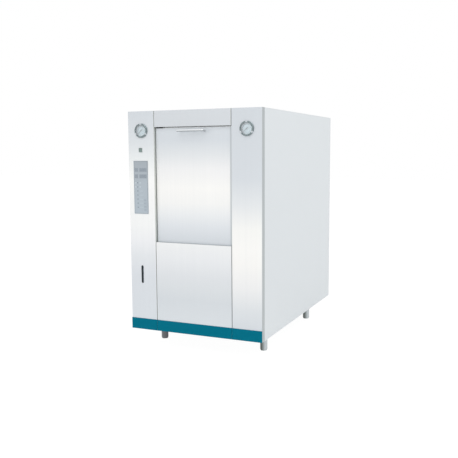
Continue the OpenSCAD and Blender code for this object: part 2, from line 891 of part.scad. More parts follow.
module end_frame() {
    color([0.75, 0.77, 0.8]) difference() {
        translate([door_x, 0, chamber_z]) along_y(ring_y, shell_y) difference() {
            round_rect(ring_w, ring_h, ring_r);
            round_rect(chamber_w, chamber_h, chamber_r);
        }
        ring_groove(ring_y - over, ring_y + gasket_d, seat);
    }
}

module door_gasket() {
    color([0.75, 0.25, 0.2]) ring_groove(plate_y + plate_t + seat, ring_y + gasket_d - seat, 0);
}

module insulation() {
    x0 = jacket_ow / 2 + seat;
    z0 = jacket_oh / 2 + seat;
    half = saddle_t / 2 + seat;
    back = end_y + seat;
    color([0.8, 0.79, 0.74]) translate([door_x, 0, chamber_z]) {
        for (s = [-1, 1]) translate([s * (x0 + insulation_t / 2), (shell_y + end_y) / 2, 0])
            cube([insulation_t, end_y - shell_y - 2 * seat, 2 * z0 - 2 * seat], center = true);
        box([-x0 - insulation_t, shell_y + seat, z0], [x0 + insulation_t, end_y - seat, z0 + insulation_t]);
        for (span = [[shell_y + seat, bearer_ys[0] - half], [bearer_ys[0] + half, bearer_ys[1] - half],
                     [bearer_ys[1] + half, end_y - seat]])
            box([-x0 - insulation_t, span[0], -z0 - insulation_t], [x0 + insulation_t, span[1], -z0]);
        difference() {
            box([-x0, back, -z0], [x0, back + insulation_t, z0]);
            for (p = chamber_ports) translate([p.x, back - over, p.y]) rotate([-90, 0, 0])
                cylinder(h = insulation_t + 2 * over, r = pipe_d / 2 + seat);
            for (p = jacket_ports) translate([p.x, back - over, p.y]) rotate([-90, 0, 0])
                cylinder(h = insulation_t + 2 * over, r = jacket_port_r + seat);
        }
    }
}

// The load rack: two side frames of bent tube, joined at the rear, with ledges for the shelves
rack_r = 7;
rack_side = chamber_w / 2 - chamber_r - rack_r;
rack_front = 60;
rack_tail = 70;
rack_top = 420;
ledge_w = 16;
ledge_t = 4;
shelf_first = 60;
shelf_pitch = 230;
rack_y0 = shell_y + rack_front;
rack_y1 = shell_end - rack_tail;
rack_floor = mouth_bottom + seat;

module rack_side_frame(s) {
    x = door_x + s * rack_side;
    z0 = rack_floor + rack_r;
    z1 = rack_floor + rack_top;
    bar([x, rack_y0, z0], [x, rack_y1, z0], rack_r);
    bar([x, rack_y0, z1], [x, rack_y1, z1], rack_r);
    for (y = [rack_y0, (rack_y0 + rack_y1) / 2, rack_y1]) {
        bar([x, y, z0], [x, y, z1], rack_r);
        for (z = [z0, z1]) translate([x, y, z]) sphere(rack_r);
    }
    for (k = [0 : shelf_count - 1]) {
        z = rack_floor + shelf_first + k * shelf_pitch;
        span_box(x, x - s * ledge_w, rack_y0, rack_y1, z, z + ledge_t);
    }
}

module load_rack() {
    z = rack_floor + rack_r;
    color([0.8, 0.82, 0.84]) {
        for (s = [-1, 1]) rack_side_frame(s);
        bar([door_x - rack_side, rack_y1, z], [door_x + rack_side, rack_y1, z], rack_r * 0.8);
    }
}

// Wire shelves: a border of flat bar and a row of wires welded between its ends
shelf_wire = 2.5;
shelf_bar_w = 12;
shelf_bar_h = 8;
shelf_wires = 15;

module wire_shelf(z) {
    half = rack_side - rack_r - 2 * seat;
    y0 = rack_y0;
    y1 = rack_y1 - rack_r;
    difference() {
        box([door_x - half, y0, z], [door_x + half, y1, z + shelf_bar_h]);
        box([door_x - half + shelf_bar_w, y0 + shelf_bar_w, z - over],
            [door_x + half - shelf_bar_w, y1 - shelf_bar_w, z + shelf_bar_h + over]);
    }
    mid = z + shelf_bar_h / 2;
    for (k = [1 : shelf_wires]) {
        x = door_x - half + 2 * half * k / (shelf_wires + 1);
        bar([x, y0 + shelf_bar_w / 2, mid], [x, y1 - shelf_bar_w / 2, mid], shelf_wire);
    }
}

module shelves() {
    color([0.8, 0.82, 0.84])
    for (k = [0 : shelf_count - 1])
        wire_shelf(rack_floor + shelf_first + k * shelf_pitch + ledge_t + seat);
}

// The steam baffle under the chamber's roof and the strainer over the drain
baffle_side = 90;
baffle_lead = 380;
baffle_tail = 120;
baffle_drop = 26;
baffle_t = 3;
// Inset of the baffle's hangers from its edges
hanger_side = 42;
hanger_end = 87.5;
strainer_r = 40;
strainer_h = 12;
strainer_hole = 3;
strainer_holes = 8;

module chamber_fittings() {
    z = mouth_top - baffle_drop;
    half = chamber_w / 2 - baffle_side;
    y0 = shell_y + baffle_lead;
    y1 = shell_end - baffle_tail;
    color([0.8, 0.82, 0.84]) {
        box([door_x - half, y0, z], [door_x + half, y1, z + baffle_t]);
        for (s = [-1, 1], y = [y0 + hanger_end, y1 - hanger_end])
            translate([door_x + s * (half - hanger_side), y, z])
                cylinder(h = baffle_drop - seat, r = spindle_r);
        translate([door_x, rack_y1 - rack_r - 2 * strainer_r, mouth_bottom + seat]) difference() {
            cylinder(h = strainer_h, r = strainer_r);
            translate([0, 0, -over]) cylinder(h = strainer_h - baffle_t + over, r = strainer_r - baffle_t);
            for (k = [1 : strainer_holes]) rotate([0, 0, k * 360 / strainer_holes])
                translate([strainer_r / 2, 0, 0]) cylinder(h = 2 * strainer_h, r = strainer_hole);
        }
    }
}

// DOOR DRIVE

// The guides: channels in which the plate's shoes run
shoe_w = 10;
shoe_h = 80;
guide_wall = 6;
guide_lip = 10;
guide_left = door_x - plate_w / 2 - shoe_w - run - guide_wall;
guide_right = door_x + plate_w / 2 + shoe_w + run + guide_wall;
guide_z0 = rail_top + seat;
guide_z1 = plate_top + guide_lip;

// Local X runs from the guide's back towards the door
module guide_2d() {
    depth = plate_t + 2 * run;
    reach = guide_wall + run + shoe_w + (plate_lap - ring_lap) - seat;
    translate([0, plate_y - run - guide_lip]) difference() {
        square([reach, depth + 2 * guide_lip]);
        translate([guide_wall, guide_lip]) square([reach, depth]);
    }
}

module door_guides() {
    color([0.6, 0.62, 0.65]) {
        translate([guide_left, 0, guide_z0]) linear_extrude(height = guide_z1 - guide_z0) guide_2d();
        translate([guide_right, 0, guide_z0]) mirror([1, 0, 0])
            linear_extrude(height = guide_z1 - guide_z0) guide_2d();
    }
}

// The air cylinders stand between the guides and the posts
cyl_r = 25;
cyl_bore = 21;
cyl_cap = 54;
cyl_cap_h = 26;
rod_r = 10;
piston_h = 24;
cyl_y = plate_y + plate_t / 2;
cyl_xs = [(guide_left + inner_left) / 2, (guide_right + inner_right) / 2];
cyl_z0 = rail_top + seat;
cyl_foot = 6;
cyl_spare = 14;
cyl_z1 = cyl_z0 + cyl_foot + 2 * cyl_cap_h + piston_h + door_travel + 2 * cyl_spare;
lug_z = plate_top - 60;
lug_h = 26;

module lift_cylinders() {
    body_z = cyl_z0 + cyl_foot;
    color([0.72, 0.74, 0.76])
    for (x = cyl_xs) difference() {
        union() {
            translate([x, cyl_y, body_z]) cylinder(h = cyl_z1 - body_z, r = cyl_r);
            for (z = [body_z, cyl_z1 - cyl_cap_h]) translate([x, cyl_y, z])
                linear_extrude(height = cyl_cap_h) round_rect(cyl_cap, cyl_cap, cyl_foot);
            box([x - cyl_cap / 2, cyl_y - cyl_cap / 2, cyl_z0],
                [x + cyl_cap / 2, cross_y + post_s / 2, body_z]);
        }
        translate([x, cyl_y, body_z + cyl_cap_h]) cylinder(h = cyl_z1 - body_z - 2 * cyl_cap_h, r = cyl_bore);
        translate([x, cyl_y, body_z + cyl_cap_h]) cylinder(h = cyl_z1, r = rod_r + run);
    }
}

module cylinder_rods() {
    piston_z = cyl_z1 - cyl_cap_h - cyl_spare - piston_h;
    color([0.85, 0.87, 0.9])
    for (x = cyl_xs) translate([x, cyl_y, 0]) {
        translate([0, 0, piston_z]) cylinder(h = piston_h, r = cyl_bore - run);
        translate([0, 0, piston_z]) cylinder(h = lug_z - seat - piston_z, r = rod_r);
    }
}

// Each bracket runs from the plate round the front of its guide to the rod
arm_t = 12;
arm_gap = 2;
pad_w = 30;

module rod_bracket(x, s) {
    face = plate_y - run - guide_lip - arm_gap;
    pad = door_x + s * (ring_w / 2 - arm_gap);
    inner = pad - s * pad_w;
    span_box(inner, x, face - arm_t, face, lug_z, lug_z + lug_h);
    span_box(inner, pad, face - arm_t, plate_y - seat, lug_z, lug_z + lug_h);
    span_box(x - pad_w * 0.75, x + pad_w * 0.75, face - arm_t, cyl_y + pad_w / 2, lug_z, lug_z + lug_h);
}

module rod_brackets() {
    color([0.6, 0.62, 0.65]) {
        rod_bracket(cyl_xs[0], -1);
        rod_bracket(cyl_xs[1], 1);
    }
}

// DOOR

module door_plate() {
    color([0.75, 0.77, 0.8]) translate([door_x, 0, (plate_top + plate_bottom) / 2])
        along_y(plate_y, plate_y + plate_t) round_rect(plate_w, plate_top - plate_bottom, ring_r / 2);
}

// Stiffening ribs of channel section across the plate
rib_rows = 5;
rib_h = 36;
rib_gap = 4;
rib_wall = 5;
rib_w = skin_w - 2 * sheet_t - 2 * panel_gap;

module door_ribs() {
    y0 = skin_y + sheet_t + rib_gap;
    pitch = (skin_top - plate_bottom) / (rib_rows + 0.5);
    color([0.65, 0.67, 0.7])
    for (k = [0 : rib_rows - 1]) translate([door_x - rib_w / 2, 0, plate_bottom + (k + 0.6) * pitch])
        rotate([90, 0, 90]) linear_extrude(height = rib_w) difference() {
            translate([y0, 0]) square([plate_y - seat - y0, rib_h]);
            translate([y0 + rib_wall, rib_wall]) square([door_box_d, rib_h - 2 * rib_wall]);
        }
}

module door_skin() {
    x0 = door_x - skin_w / 2;
    fold = door_box_d - seat;
    color([0.9, 0.92, 0.94]) {
        translate([x0, skin_y, skin_bottom]) linear_extrude(height = skin_top - skin_bottom)
            channel_2d(skin_w, fold, fold);
        for (z = [skin_bottom, skin_top - sheet_t])
            box([x0 + sheet_t / 2, skin_y + sheet_t / 2, z],
                [x0 + skin_w - sheet_t / 2, skin_y + fold, z + sheet_t]);
    }
}

// The handle is a round bar on two posts with flanged feet
handle_drop = 21;
handle_post_r = 4.5;
handle_foot_r = 8;
handle_foot_t = 3;
handle_end = 8;
handle_z = skin_top - handle_drop;

module door_handle() {
    reach = handle_reach - handle_d / 2;
    color([0.8, 0.82, 0.85]) on_front(door_x, handle_z, skin_y) {
        translate([-handle_len / 2 - handle_end, 0, reach]) rotate([0, 90, 0])
            cylinder(h = handle_len + 2 * handle_end, r = handle_d / 2);
        for (s = [-1, 1]) {
            translate([s * handle_len / 2, 0, seat]) cylinder(h = reach, r = handle_post_r);
            translate([s * handle_len / 2, 0, seat]) cylinder(h = handle_foot_t, r = handle_foot_r);
            translate([s * (handle_len / 2 + handle_end), 0, reach]) sphere(handle_d / 2);
        }
    }
}

module guide_shoes() {
    color([0.85, 0.82, 0.7])
    for (s = [-1, 1], z = [plate_bottom + ring_r, plate_top - ring_r - shoe_h])
        span_box(door_x + s * (plate_w / 2 + seat / 2), door_x + s * (plate_w / 2 + shoe_w),
                 plate_y, plate_y + plate_t, z, z + shoe_h);
}

// SERVICES

// The steam generator: a shell with dished ends, a bolted heater flange and two feet
gen_r = generator_d / 2;
gen_side = 275.7;
gen_x = inner_right - gen_side;
gen_z = rail_top + gen_gap + gen_r;
gen_wall = 5;
gen_dish = 60;
gen_neck_r = 90;
gen_flange_r = 120;
gen_flange_t = 18;
gen_box_len = 60;
gen_stub_h = 30;
gen_stub_share = 0.78;
gen_foot_w = gen_r * 1.4;
// The straps round the shell that its feet are welded to
gen_strap_w = 26;
gen_strap_t = 3;
bolt_r = 6;
bolt_count = 12;
dish_steps = 8;

// A closed tank along local Z, turned in one profile with a dished end at each end of its shell
module tank(r, len, dish) {
    dish_r = (r * r + dish * dish) / (2 * dish);
    dish_half = asin(r / dish_r);
    arc = [for (k = [0 : dish_steps]) let (a = dish_half * k / dish_steps)
        [dish_r * sin(a), dish - dish_r + dish_r * cos(a)]];
    rotate_extrude() polygon(concat([for (k = [0 : dish_steps]) [arc[k].x, -arc[k].y]],
        [for (k = [dish_steps : -1 : 0]) [arc[k].x, len + arc[k].y]]));
}

module steam_generator() {
    color([0.8, 0.82, 0.84]) difference() {
        union() {
            translate([gen_x, gen_y0, gen_z]) rotate([-90, 0, 0]) tank(gen_r, generator_len, gen_dish);
            translate([gen_x, gen_y0, gen_z]) rotate([90, 0, 0]) heater_flange();
            translate([gen_x, gen_y0 + generator_len * gen_stub_share, gen_z])
                cylinder(h = gen_r + gen_stub_h, r = pipe_d / 2 + port_wall);
            for (y = gen_foot_ys) {
                translate([gen_x, y + gen_strap_w / 2, gen_z]) rotate([90, 0, 0])
                    cylinder(h = gen_strap_w, r = gen_r + gen_strap_t);
                box([gen_x - gen_foot_w / 2, y - saddle_t / 2, rail_top + seat],
                    [gen_x + gen_foot_w / 2, y + saddle_t / 2, gen_z]);
            }
        }
        translate([gen_x, gen_y0, gen_z]) rotate([-90, 0, 0])
            tank(gen_r - gen_wall, generator_len, gen_dish - gen_wall);
    }
}

// The bolted flange that carries the heating elements, and the box over their terminals
module heater_flange() {
    cylinder(h = gen_dish + gen_flange_t, r = gen_neck_r);
    translate([0, 0, gen_dish + gen_flange_t]) cylinder(h = 2 * gen_flange_t, r = gen_flange_r);
    translate([0, 0, gen_dish]) cylinder(h = gen_box_len + 3 * gen_flange_t, r = gen_neck_r * 0.8);
    for (k = [0 : bolt_count - 1]) rotate([0, 0, (k + 0.5) * 360 / bolt_count])
        translate([gen_flange_r - 2 * bolt_r, 0, gen_dish + 3 * gen_flange_t - over])
            cylinder(h = bolt_r + over, r = bolt_r);
}

// The vacuum pump and its motor lie along Y on the tray
motor_r = 66;
motor_len = 250;
motor_fin = 7;
fin_count = 28;
fin_t = 3;
pump_r = 92;
pump_len = 120;
pump_side = 223.7;
pump_lead = 20;
pump_rise = 112;
pump_x = inner_left + pump_side;
pump_y = leg_ys[0] + pump_lead;
pump_z = tray_z + seat + pump_rise;
bearing_d = 24;
cowl_len = 62;
cowl_wall = 2.5;
cowl_slots = 12;
fan_r = 56;
fan_len = 18;
fan_blades = 7;
fan_shaft_r = 9;
fan_hub_r = 18;

module motor(r, len, fins) {
    cylinder(h = len, r = r);
    linear_extrude(height = len) for (k = [0 : fins - 1])
        rotate([0, 0, k * 360 / fins]) translate([0, -fin_t / 2]) square([r + motor_fin, fin_t]);
}

module vacuum_pump() {
    y1 = pump_y + motor_len;
    color([0.25, 0.4, 0.55]) difference() {
        union() {
            translate([pump_x, y1, pump_z]) rotate([90, 0, 0]) motor(motor_r, motor_len, fin_count);
            translate([pump_x, y1 - over, pump_z]) rotate([-90, 0, 0]) {
                cylinder(h = pump_len, r = pump_r);
                translate([0, 0, pump_len - over]) cylinder(h = saddle_t, r = pump_r * 0.7);
            }
            translate([pump_x, y1 + pump_len / 2, pump_z])
                cylinder(h = pump_r + gen_stub_h, r = pipe_d / 2 + port_wall);
            box([pump_x - motor_r, pump_y + motor_len / 4, tray_z + seat],
                [pump_x + motor_r, y1 + pump_len * 0.8, tray_z + seat + saddle_t]);
            for (y = [pump_y + motor_len / 4, y1 - saddle_t])
                box([pump_x - motor_r, y, tray_z + seat],
                    [pump_x + motor_r, y + saddle_t, pump_z - motor_r / 2]);
            translate([pump_x, y1 + pump_len * 0.6, 0]) box([-pump_r * 0.6, 0, tray_z + seat],
                [pump_r * 0.6, saddle_t, pump_z - pump_r / 2]);
            box([pump_x + motor_r - over, pump_y + motor_len / 3, pump_z - motor_r / 2],
                [pump_x + motor_r + gen_stub_h, pump_y + motor_len * 0.8, pump_z + motor_r / 2]);
            fan_cowl();
        }
        translate([pump_x, pump_y + bearing_d, pump_z]) rotate([90, 0, 0])
            cylinder(h = bearing_d + over, r = fan_shaft_r + run);
    }
}

// The cowl over the fan, with radial slots in its face
module fan_cowl() {
    translate([pump_x, pump_y + over, pump_z]) rotate([90, 0, 0]) difference() {
        cylinder(h = cowl_len, r = motor_r + motor_fin);
        translate([0, 0, over])
            cylinder(h = cowl_len - cowl_wall - over, r = motor_r + motor_fin - cowl_wall);
        for (k = [1 : cowl_slots]) rotate([0, 0, k * 360 / cowl_slots])
            translate([fan_shaft_r + motor_fin, -fin_t, 2 * over])
                cube([fan_r - fan_shaft_r - motor_fin, 2 * fin_t, cowl_len + over]);
    }
}

module pump_fan() {
    mid = cowl_len / 2;
    color([0.15, 0.15, 0.16]) translate([pump_x, pump_y, pump_z]) rotate([90, 0, 0]) {
        translate([0, 0, seat - bearing_d]) cylinder(h = mid + bearing_d, r = fan_shaft_r);
        translate([0, 0, mid - fan_len / 2 - over]) cylinder(h = fan_len + 2 * over, r = fan_hub_r);
        for (k = [0 : fan_blades - 1]) rotate([0, 0, k * 360 / fan_blades])
            translate([fan_hub_r - fin_t, -fin_t / 2, mid - fan_len / 2])
                cube([fan_r - fan_hub_r + fin_t, fin_t, fan_len]);
    }
}

// The feed-water pump stands behind the vacuum pump
feed_r = 42;
feed_len = 130;
feed_head_r = 50;
feed_head_len = 50;
feed_side = 74;
feed_lead = 560;
feed_rise = 70;
feed_fins = 20;
feed_x = pump_x - feed_side;
feed_y = pump_y + feed_lead;
feed_z = tray_z + seat + feed_rise;

module feed_pump() {
    z = tray_z + seat;
    color([0.25, 0.4, 0.55]) {
        translate([feed_x, feed_y + feed_len, feed_z]) rotate([90, 0, 0]) motor(feed_r, feed_len, feed_fins);
        translate([feed_x, feed_y + feed_len - over, feed_z]) rotate([-90, 0, 0])
            cylinder(h = feed_head_len, r = feed_head_r);
        translate([feed_x, feed_y + feed_len + feed_head_len / 2, feed_z])
            cylinder(h = feed_head_r + saddle_t, r = pipe_d / 3);
        box([feed_x - feed_r, feed_y, z], [feed_x + feed_r, feed_y + feed_len, z + saddle_t / 2]);
        for (y = [feed_y, feed_y + feed_len - saddle_t])
            box([feed_x - feed_r, y, z], [feed_x + feed_r, y + saddle_t, feed_z]);
    }
}

// The condenser hangs under the vessel bearers on two clamps
cond_r = 48;
cond_cap_r = 60;
cond_cap_t = 14;
cond_drop = 66;
cond_lead = 90;
cond_x = pump_x;
cond_z = bearer_z - cond_drop;
cond_y0 = bearer_ys[0] - cond_lead;
cond_y1 = bearer_ys[1] + cond_lead;

module condenser() {
    color([0.7, 0.72, 0.75]) difference() {
        union() {
            translate([cond_x, cond_y0, cond_z]) rotate([-90, 0, 0]) {
                cylinder(h = cond_y1 - cond_y0, r = cond_r);
                for (y = [0, cond_y1 - cond_y0 - 2 * cond_cap_t]) translate([0, 0, y])
                    cylinder(h = 2 * cond_cap_t, r = cond_cap_r);
            }
            for (y = bearer_ys)
                box([cond_x - saddle_t, y - saddle_t, cond_z],
                    [cond_x + saddle_t, y + saddle_t, bearer_z - seat]);
        }
        translate([cond_x, cond_y0 + cond_cap_t, cond_z]) rotate([-90, 0, 0])
            cylinder(h = cond_y1 - cond_y0 - 2 * cond_cap_t, r = cond_r - port_wall);
    }
}

// Points of the rear panel where a connection passes: x, height and radius
drain_rise = 150;
drain_x = pump_x;
drain_z = bottom_z + drain_rise;
inlet_r = 10.5;
inlet_side = 130;
inlet_rise = 210;
inlet_x = feed_x + inlet_side;
inlet_z = bottom_z + inlet_rise;
exhaust_rise = 116;
exhaust_x = door_x + port_side;
exhaust_z = chamber_z + port_high + exhaust_rise;
cable_r = 16;
cable_inset = 150;
cable_rise = 240;
cable_x = right_x - cable_inset;
cable_z = bottom_z + cable_rise;
rear_points = [[drain_x, drain_z, pipe_d / 2], [inlet_x, inlet_z, inlet_r],
               [exhaust_x, exhaust_z, pipe_d / 2], [cable_x, cable_z, cable_r]];
stub_in = 60;
stub_flange_t = 4;
stub_flange = 12;

// Tube stubs with a flange on each side of the rear panel, and the cable gland
module rear_stub(x, z, r) {
    translate([x, rear_y, z]) rotate([-90, 0, 0]) difference() {
        union() {
            translate([0, 0, -stub_in]) cylinder(h = stub_in + stub_out, r = r);
            translate([0, 0, seat]) cylinder(h = stub_flange_t, r = r + stub_flange);
            translate([0, 0, -sheet_t - seat - stub_flange_t])
                cylinder(h = stub_flange_t, r = r + stub_flange);
        }
        translate([0, 0, -stub_in - over]) cylinder(h = stub_in + stub_out + 2 * over, r = r - port_wall);
    }
}

module rear_connections() {
    color([0.78, 0.8, 0.82]) for (p = rear_points) rear_stub(p[0], p[1], p[2]);
}

// PIPEWORK

function unit(v) = v / norm(v);

pipe_bend = 50;

module elbow(p, u, v, r, bend) {
    c = p - bend * u + bend * v;
    w = cross(u, v);
    multmatrix([[-v.x, u.x, w.x, c.x], [-v.y, u.y, w.y, c.y], [-v.z, u.z, w.z, c.z], [0, 0, 0, 1]])
        rotate_extrude(angle = 90) translate([bend, 0]) circle(r);
}

// A bent pipe through corner points that turn by right angles
module pipe_run(points, r, bend) {
    last = len(points) - 1;
    for (i = [0 : last - 1]) {
        u = unit(points[i + 1] - points[i]);
        bar(points[i] + (i == 0 ? 0 : bend) * u, points[i + 1] - (i == last - 1 ? 0 : bend) * u, r);
    }
    for (i = [1 : last - 1])
        elbow(points[i], unit(points[i] - points[i - 1]), unit(points[i + 1] - points[i]), r, bend);
}

riser_gap = 70;
riser_y = port_end + riser_gap;
small_r = jacket_port_r;
small_bend = 30;
steam_drop = 90;
suction_rise = 210;

// A valve in a vertical pipe, with its drive standing out to the rear
act_r = 26;
act_len = 70;
act_neck = 24;

module inline_valve(at, r) {
    translate(at) {
        translate([0, 0, -act_r]) cylinder(h = 2 * act_r, r = r * 1.6);
        for (s = [-1, 1]) translate([0, 0, s * act_r])
            cylinder(h = act_r / 2, r = r * 1.9, center = true, $fn = 6);
        rotate([-90, 0, 0]) {
            cylinder(h = act_neck + r, r = r * 0.9);
            translate([0, 0, act_neck + r]) cylinder(h = act_len, r = act_r);
        }
    }
}

// A cartridge filter that stands on the end of its pipe
filter_r = 38;
filter_h = 130;

module air_filter(at) {
    translate(at) {
        cylinder(h = filter_h, r = filter_r);
        translate([0, 0, -saddle_t]) cylinder(h = saddle_t + over, r = filter_r / 2);
        translate([0, 0, filter_h]) mirror([0, 0, 1]) cylinder(h = 2 * saddle_t, r = filter_r + motor_fin);
    }
}

module pipework() {
    r = pipe_d / 2;
    y0 = port_end + seat;
    color([0.72, 0.6, 0.45]) {
        steam_pipe(y0);
        drain_pipe(r, y0);
        suction_pipe(r);
        feed_pipes();
        // From the pump to the rear drain
        bar([pump_x, pump_y + motor_len + pump_len + saddle_t - over, drain_z],
            [pump_x, rear_y - stub_in - seat, drain_z], r);
        exhaust_pipe(r);
        air_pipe(r, y0);
    }
}

// From the chamber's safety valve to the rear exhaust
module exhaust_pipe(r) {
    z = chamber_z + port_high;
    y = valve_end + seat + 2 * small_bend;
    pipe_run([[exhaust_x, valve_end + seat, z], [exhaust_x, y, z], [exhaust_x, y, exhaust_z],
              [exhaust_x, rear_y - stub_in - seat, exhaust_z]], r, small_bend);
}

// From the air port up to the filter
module air_pipe(r, y0) {
    x = door_x - port_side;
    z = chamber_z + port_high;
    top = [x, riser_y, z + 2 * small_bend];
    pipe_run([[x, y0, z], [x, riser_y, z], top], r, small_bend);
    air_filter(top);
}

// Steam from the generator to the jacket's rear
module steam_pipe(y0) {
    a = [gen_x, gen_y0 + generator_len * gen_stub_share, gen_z + gen_r + gen_stub_h + seat];
    x = door_x + jacket_port_x;
    z = bearer_z - steam_drop;
    pipe_run([a, [a.x, a.y, z], [x, a.y, z], [x, riser_y, z], [x, riser_y, chamber_z], [x, y0, chamber_z]],
             small_r, pipe_bend);
    inline_valve([x, riser_y, (z + chamber_z) / 2], small_r);
}

// From the chamber's drain to the condenser
module drain_pipe(r, y0) {
    z = chamber_z - port_low;
    pipe_run([[door_x, y0, z], [door_x, riser_y, z], [door_x, riser_y, cond_z], [cond_x, riser_y, cond_z],
              [cond_x, cond_y1 + seat, cond_z]], r, pipe_bend);
    inline_valve([door_x, riser_y, (z + cond_z) / 2], r);
}

// From the condenser to the vacuum pump
module suction_pipe(r) {
    y = pump_y + motor_len + pump_len / 2;
    z = pump_z + pump_r + gen_stub_h + seat;
    front = cond_y0 - pipe_bend - small_bend / 3;
    pipe_run([[pump_x, y, z], [pump_x, y, z + suction_rise], [pump_x, front, z + suction_rise],
              [pump_x, front, cond_z], [pump_x, cond_y0 - seat, cond_z]], r, pipe_bend);
}

// From the water inlet to the feed pump, and on to the generator
module feed_pipes() {
    y_head = feed_y + feed_len + feed_head_len - over + seat;
    y_turn = y_head + 2 * small_bend;
    pipe_run([[feed_x, y_head, feed_z], [feed_x, y_turn, feed_z], [feed_x, y_turn, inlet_z],
              [inlet_x, y_turn, inlet_z], [inlet_x, rear_y - stub_in - seat, inlet_z]],
             inlet_r, small_bend);
    y = feed_y + feed_len + feed_head_len / 2;
    pipe_run([[feed_x, y, feed_z + feed_head_r + saddle_t + seat], [feed_x, y, gen_z], [gen_x, y, gen_z],
              [gen_x, gen_y0 + generator_len + gen_dish + seat, gen_z]], inlet_r, small_bend);
}

// The safety valves stand on the chamber's relief port and on the jacket's second port
valve_r = 16;
valve_body_h = 46;
valve_cap_r = 13;
valve_cap_h = 30;
valve_places = [[door_x + port_side, port_end + seat, chamber_z + port_high],
                [door_x - jacket_port_x, port_end + seat, chamber_z]];

module safety_valves() {
    color([0.75, 0.6, 0.3]) for (at = valve_places) safety_valve(at);
}
valve_reach = 34;
valve_outlet = 26;
valve_end = valve_places[0].y + valve_reach + valve_outlet;
fork_gap = 4;
lever_pin_r = 2.5;
lever_len = 52;
lever_t = 5;
fork_h = 18;

// An angle body with its outlet to the side, a bonnet and a fork for the lever
module safety_valve(at) {
    translate(at) {
        rotate([-90, 0, 0]) cylinder(h = valve_reach + valve_outlet, r = valve_r);
        translate([0, valve_reach, 0]) cylinder(h = valve_body_h, r = valve_r);
        translate([0, valve_reach, 0]) rotate([0, 0, 30]) cylinder(h = valve_r, r = valve_r * 1.3, $fn = 6);
        translate([0, valve_reach, valve_body_h - over]) cylinder(h = valve_cap_h, r = valve_cap_r);
        translate([0, valve_reach, valve_body_h + valve_cap_h - 2 * over]) difference() {
            box([-fork_gap - lever_t, -valve_cap_r / 2, 0], [fork_gap + lever_t, valve_cap_r / 2, fork_h]);
            box([-lever_t / 2 - seat, -valve_cap_r, over], [lever_t / 2 + seat, valve_cap_r, fork_h + over]);
            translate([-valve_cap_r, 0, fork_h / 2]) rotate([0, 90, 0])
                cylinder(h = 2 * valve_cap_r, r = lever_pin_r + run);
        }
    }
}

// A flat lever on a cross pin; it points to the rear at rest and lifts
module valve_lever(at) {
    z = valve_body_h + valve_cap_h - 2 * over + fork_h / 2;
    translate(at + [0, valve_reach, z]) {
        translate([-fork_gap - lever_t, 0, 0]) rotate([0, 90, 0])
            cylinder(h = 2 * fork_gap + 2 * lever_t, r = lever_pin_r);
        box([-lever_t / 2, -lever_pin_r - over, -lever_pin_r - over],
            [lever_t / 2, lever_len, lever_pin_r + over]);
        translate([-lever_t / 2, lever_len, 0]) rotate([0, 90, 0])
            cylinder(h = lever_t, r = lever_pin_r + 2 * over);
    }
}

module chamber_valve_lever() {
    color([0.8, 0.3, 0.2]) valve_lever(valve_places[0]);
}

module jacket_valve_lever() {
    color([0.8, 0.3, 0.2]) valve_lever(valve_places[1]);
}

// ELECTRICS

cabinet_w = 74;
cabinet_d = 520;
cabinet_h = 560;
cabinet_inset = 30;
cover_t = 12;
cover_gap = 6;

module electrical_cabinet() {
    low = [inner_left + seat, bearer_ys[0] - cabinet_inset, bearer_z + post_s + seat];
    shell = [sheet_t, sheet_t, sheet_t];
    color([0.8, 0.82, 0.82]) difference() {
        union() {
            box(low, low + [cabinet_w - cover_t, cabinet_d, cabinet_h]);
            box(low + [cabinet_w - cover_t - over, cover_gap, cover_gap],
                low + [cabinet_w, cabinet_d - cover_gap, cabinet_h - cover_gap]);
        }
        box(low + shell, low + [cabinet_w - cover_t, cabinet_d, cabinet_h] - shell);
    }
}

corner_posts();
base_rails();
vessel_bearers();
top_rails();
legs();
leg_locknuts();
left_side_panel();
right_side_panel();
top_panel();
rear_panel();
left_column_panel();
right_column_panel();
top_centre_panel();
lower_centre_panel();
kick_bands();
seam_clips();
gauge_cases();
gauge_bezels();
gauge_dials();
gauge_lenses();
left_pointer();
right_pointer();
switch_bezel();
power_rocker();
control_face();
control_housing();
panel_indicators();
key_1();
key_2();
key_3();
key_4();
level_gauge();
chamber();
jacket();
end_frame();
door_gasket();
insulation();
load_rack();
shelves();
chamber_fittings();
door_guides();
lift_cylinders();
door_skin();
door_plate();
door_ribs();
door_handle();
guide_shoes();
rod_brackets();
cylinder_rods();
steam_generator();
vacuum_pump();
pump_fan();
feed_pump();
condenser();
pipework();
safety_valves();
chamber_valve_lever();
jacket_valve_lever();
electrical_cabinet();
rear_connections();
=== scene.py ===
import bpy
import bmesh
import json
import math
from mathutils import Matrix, Vector


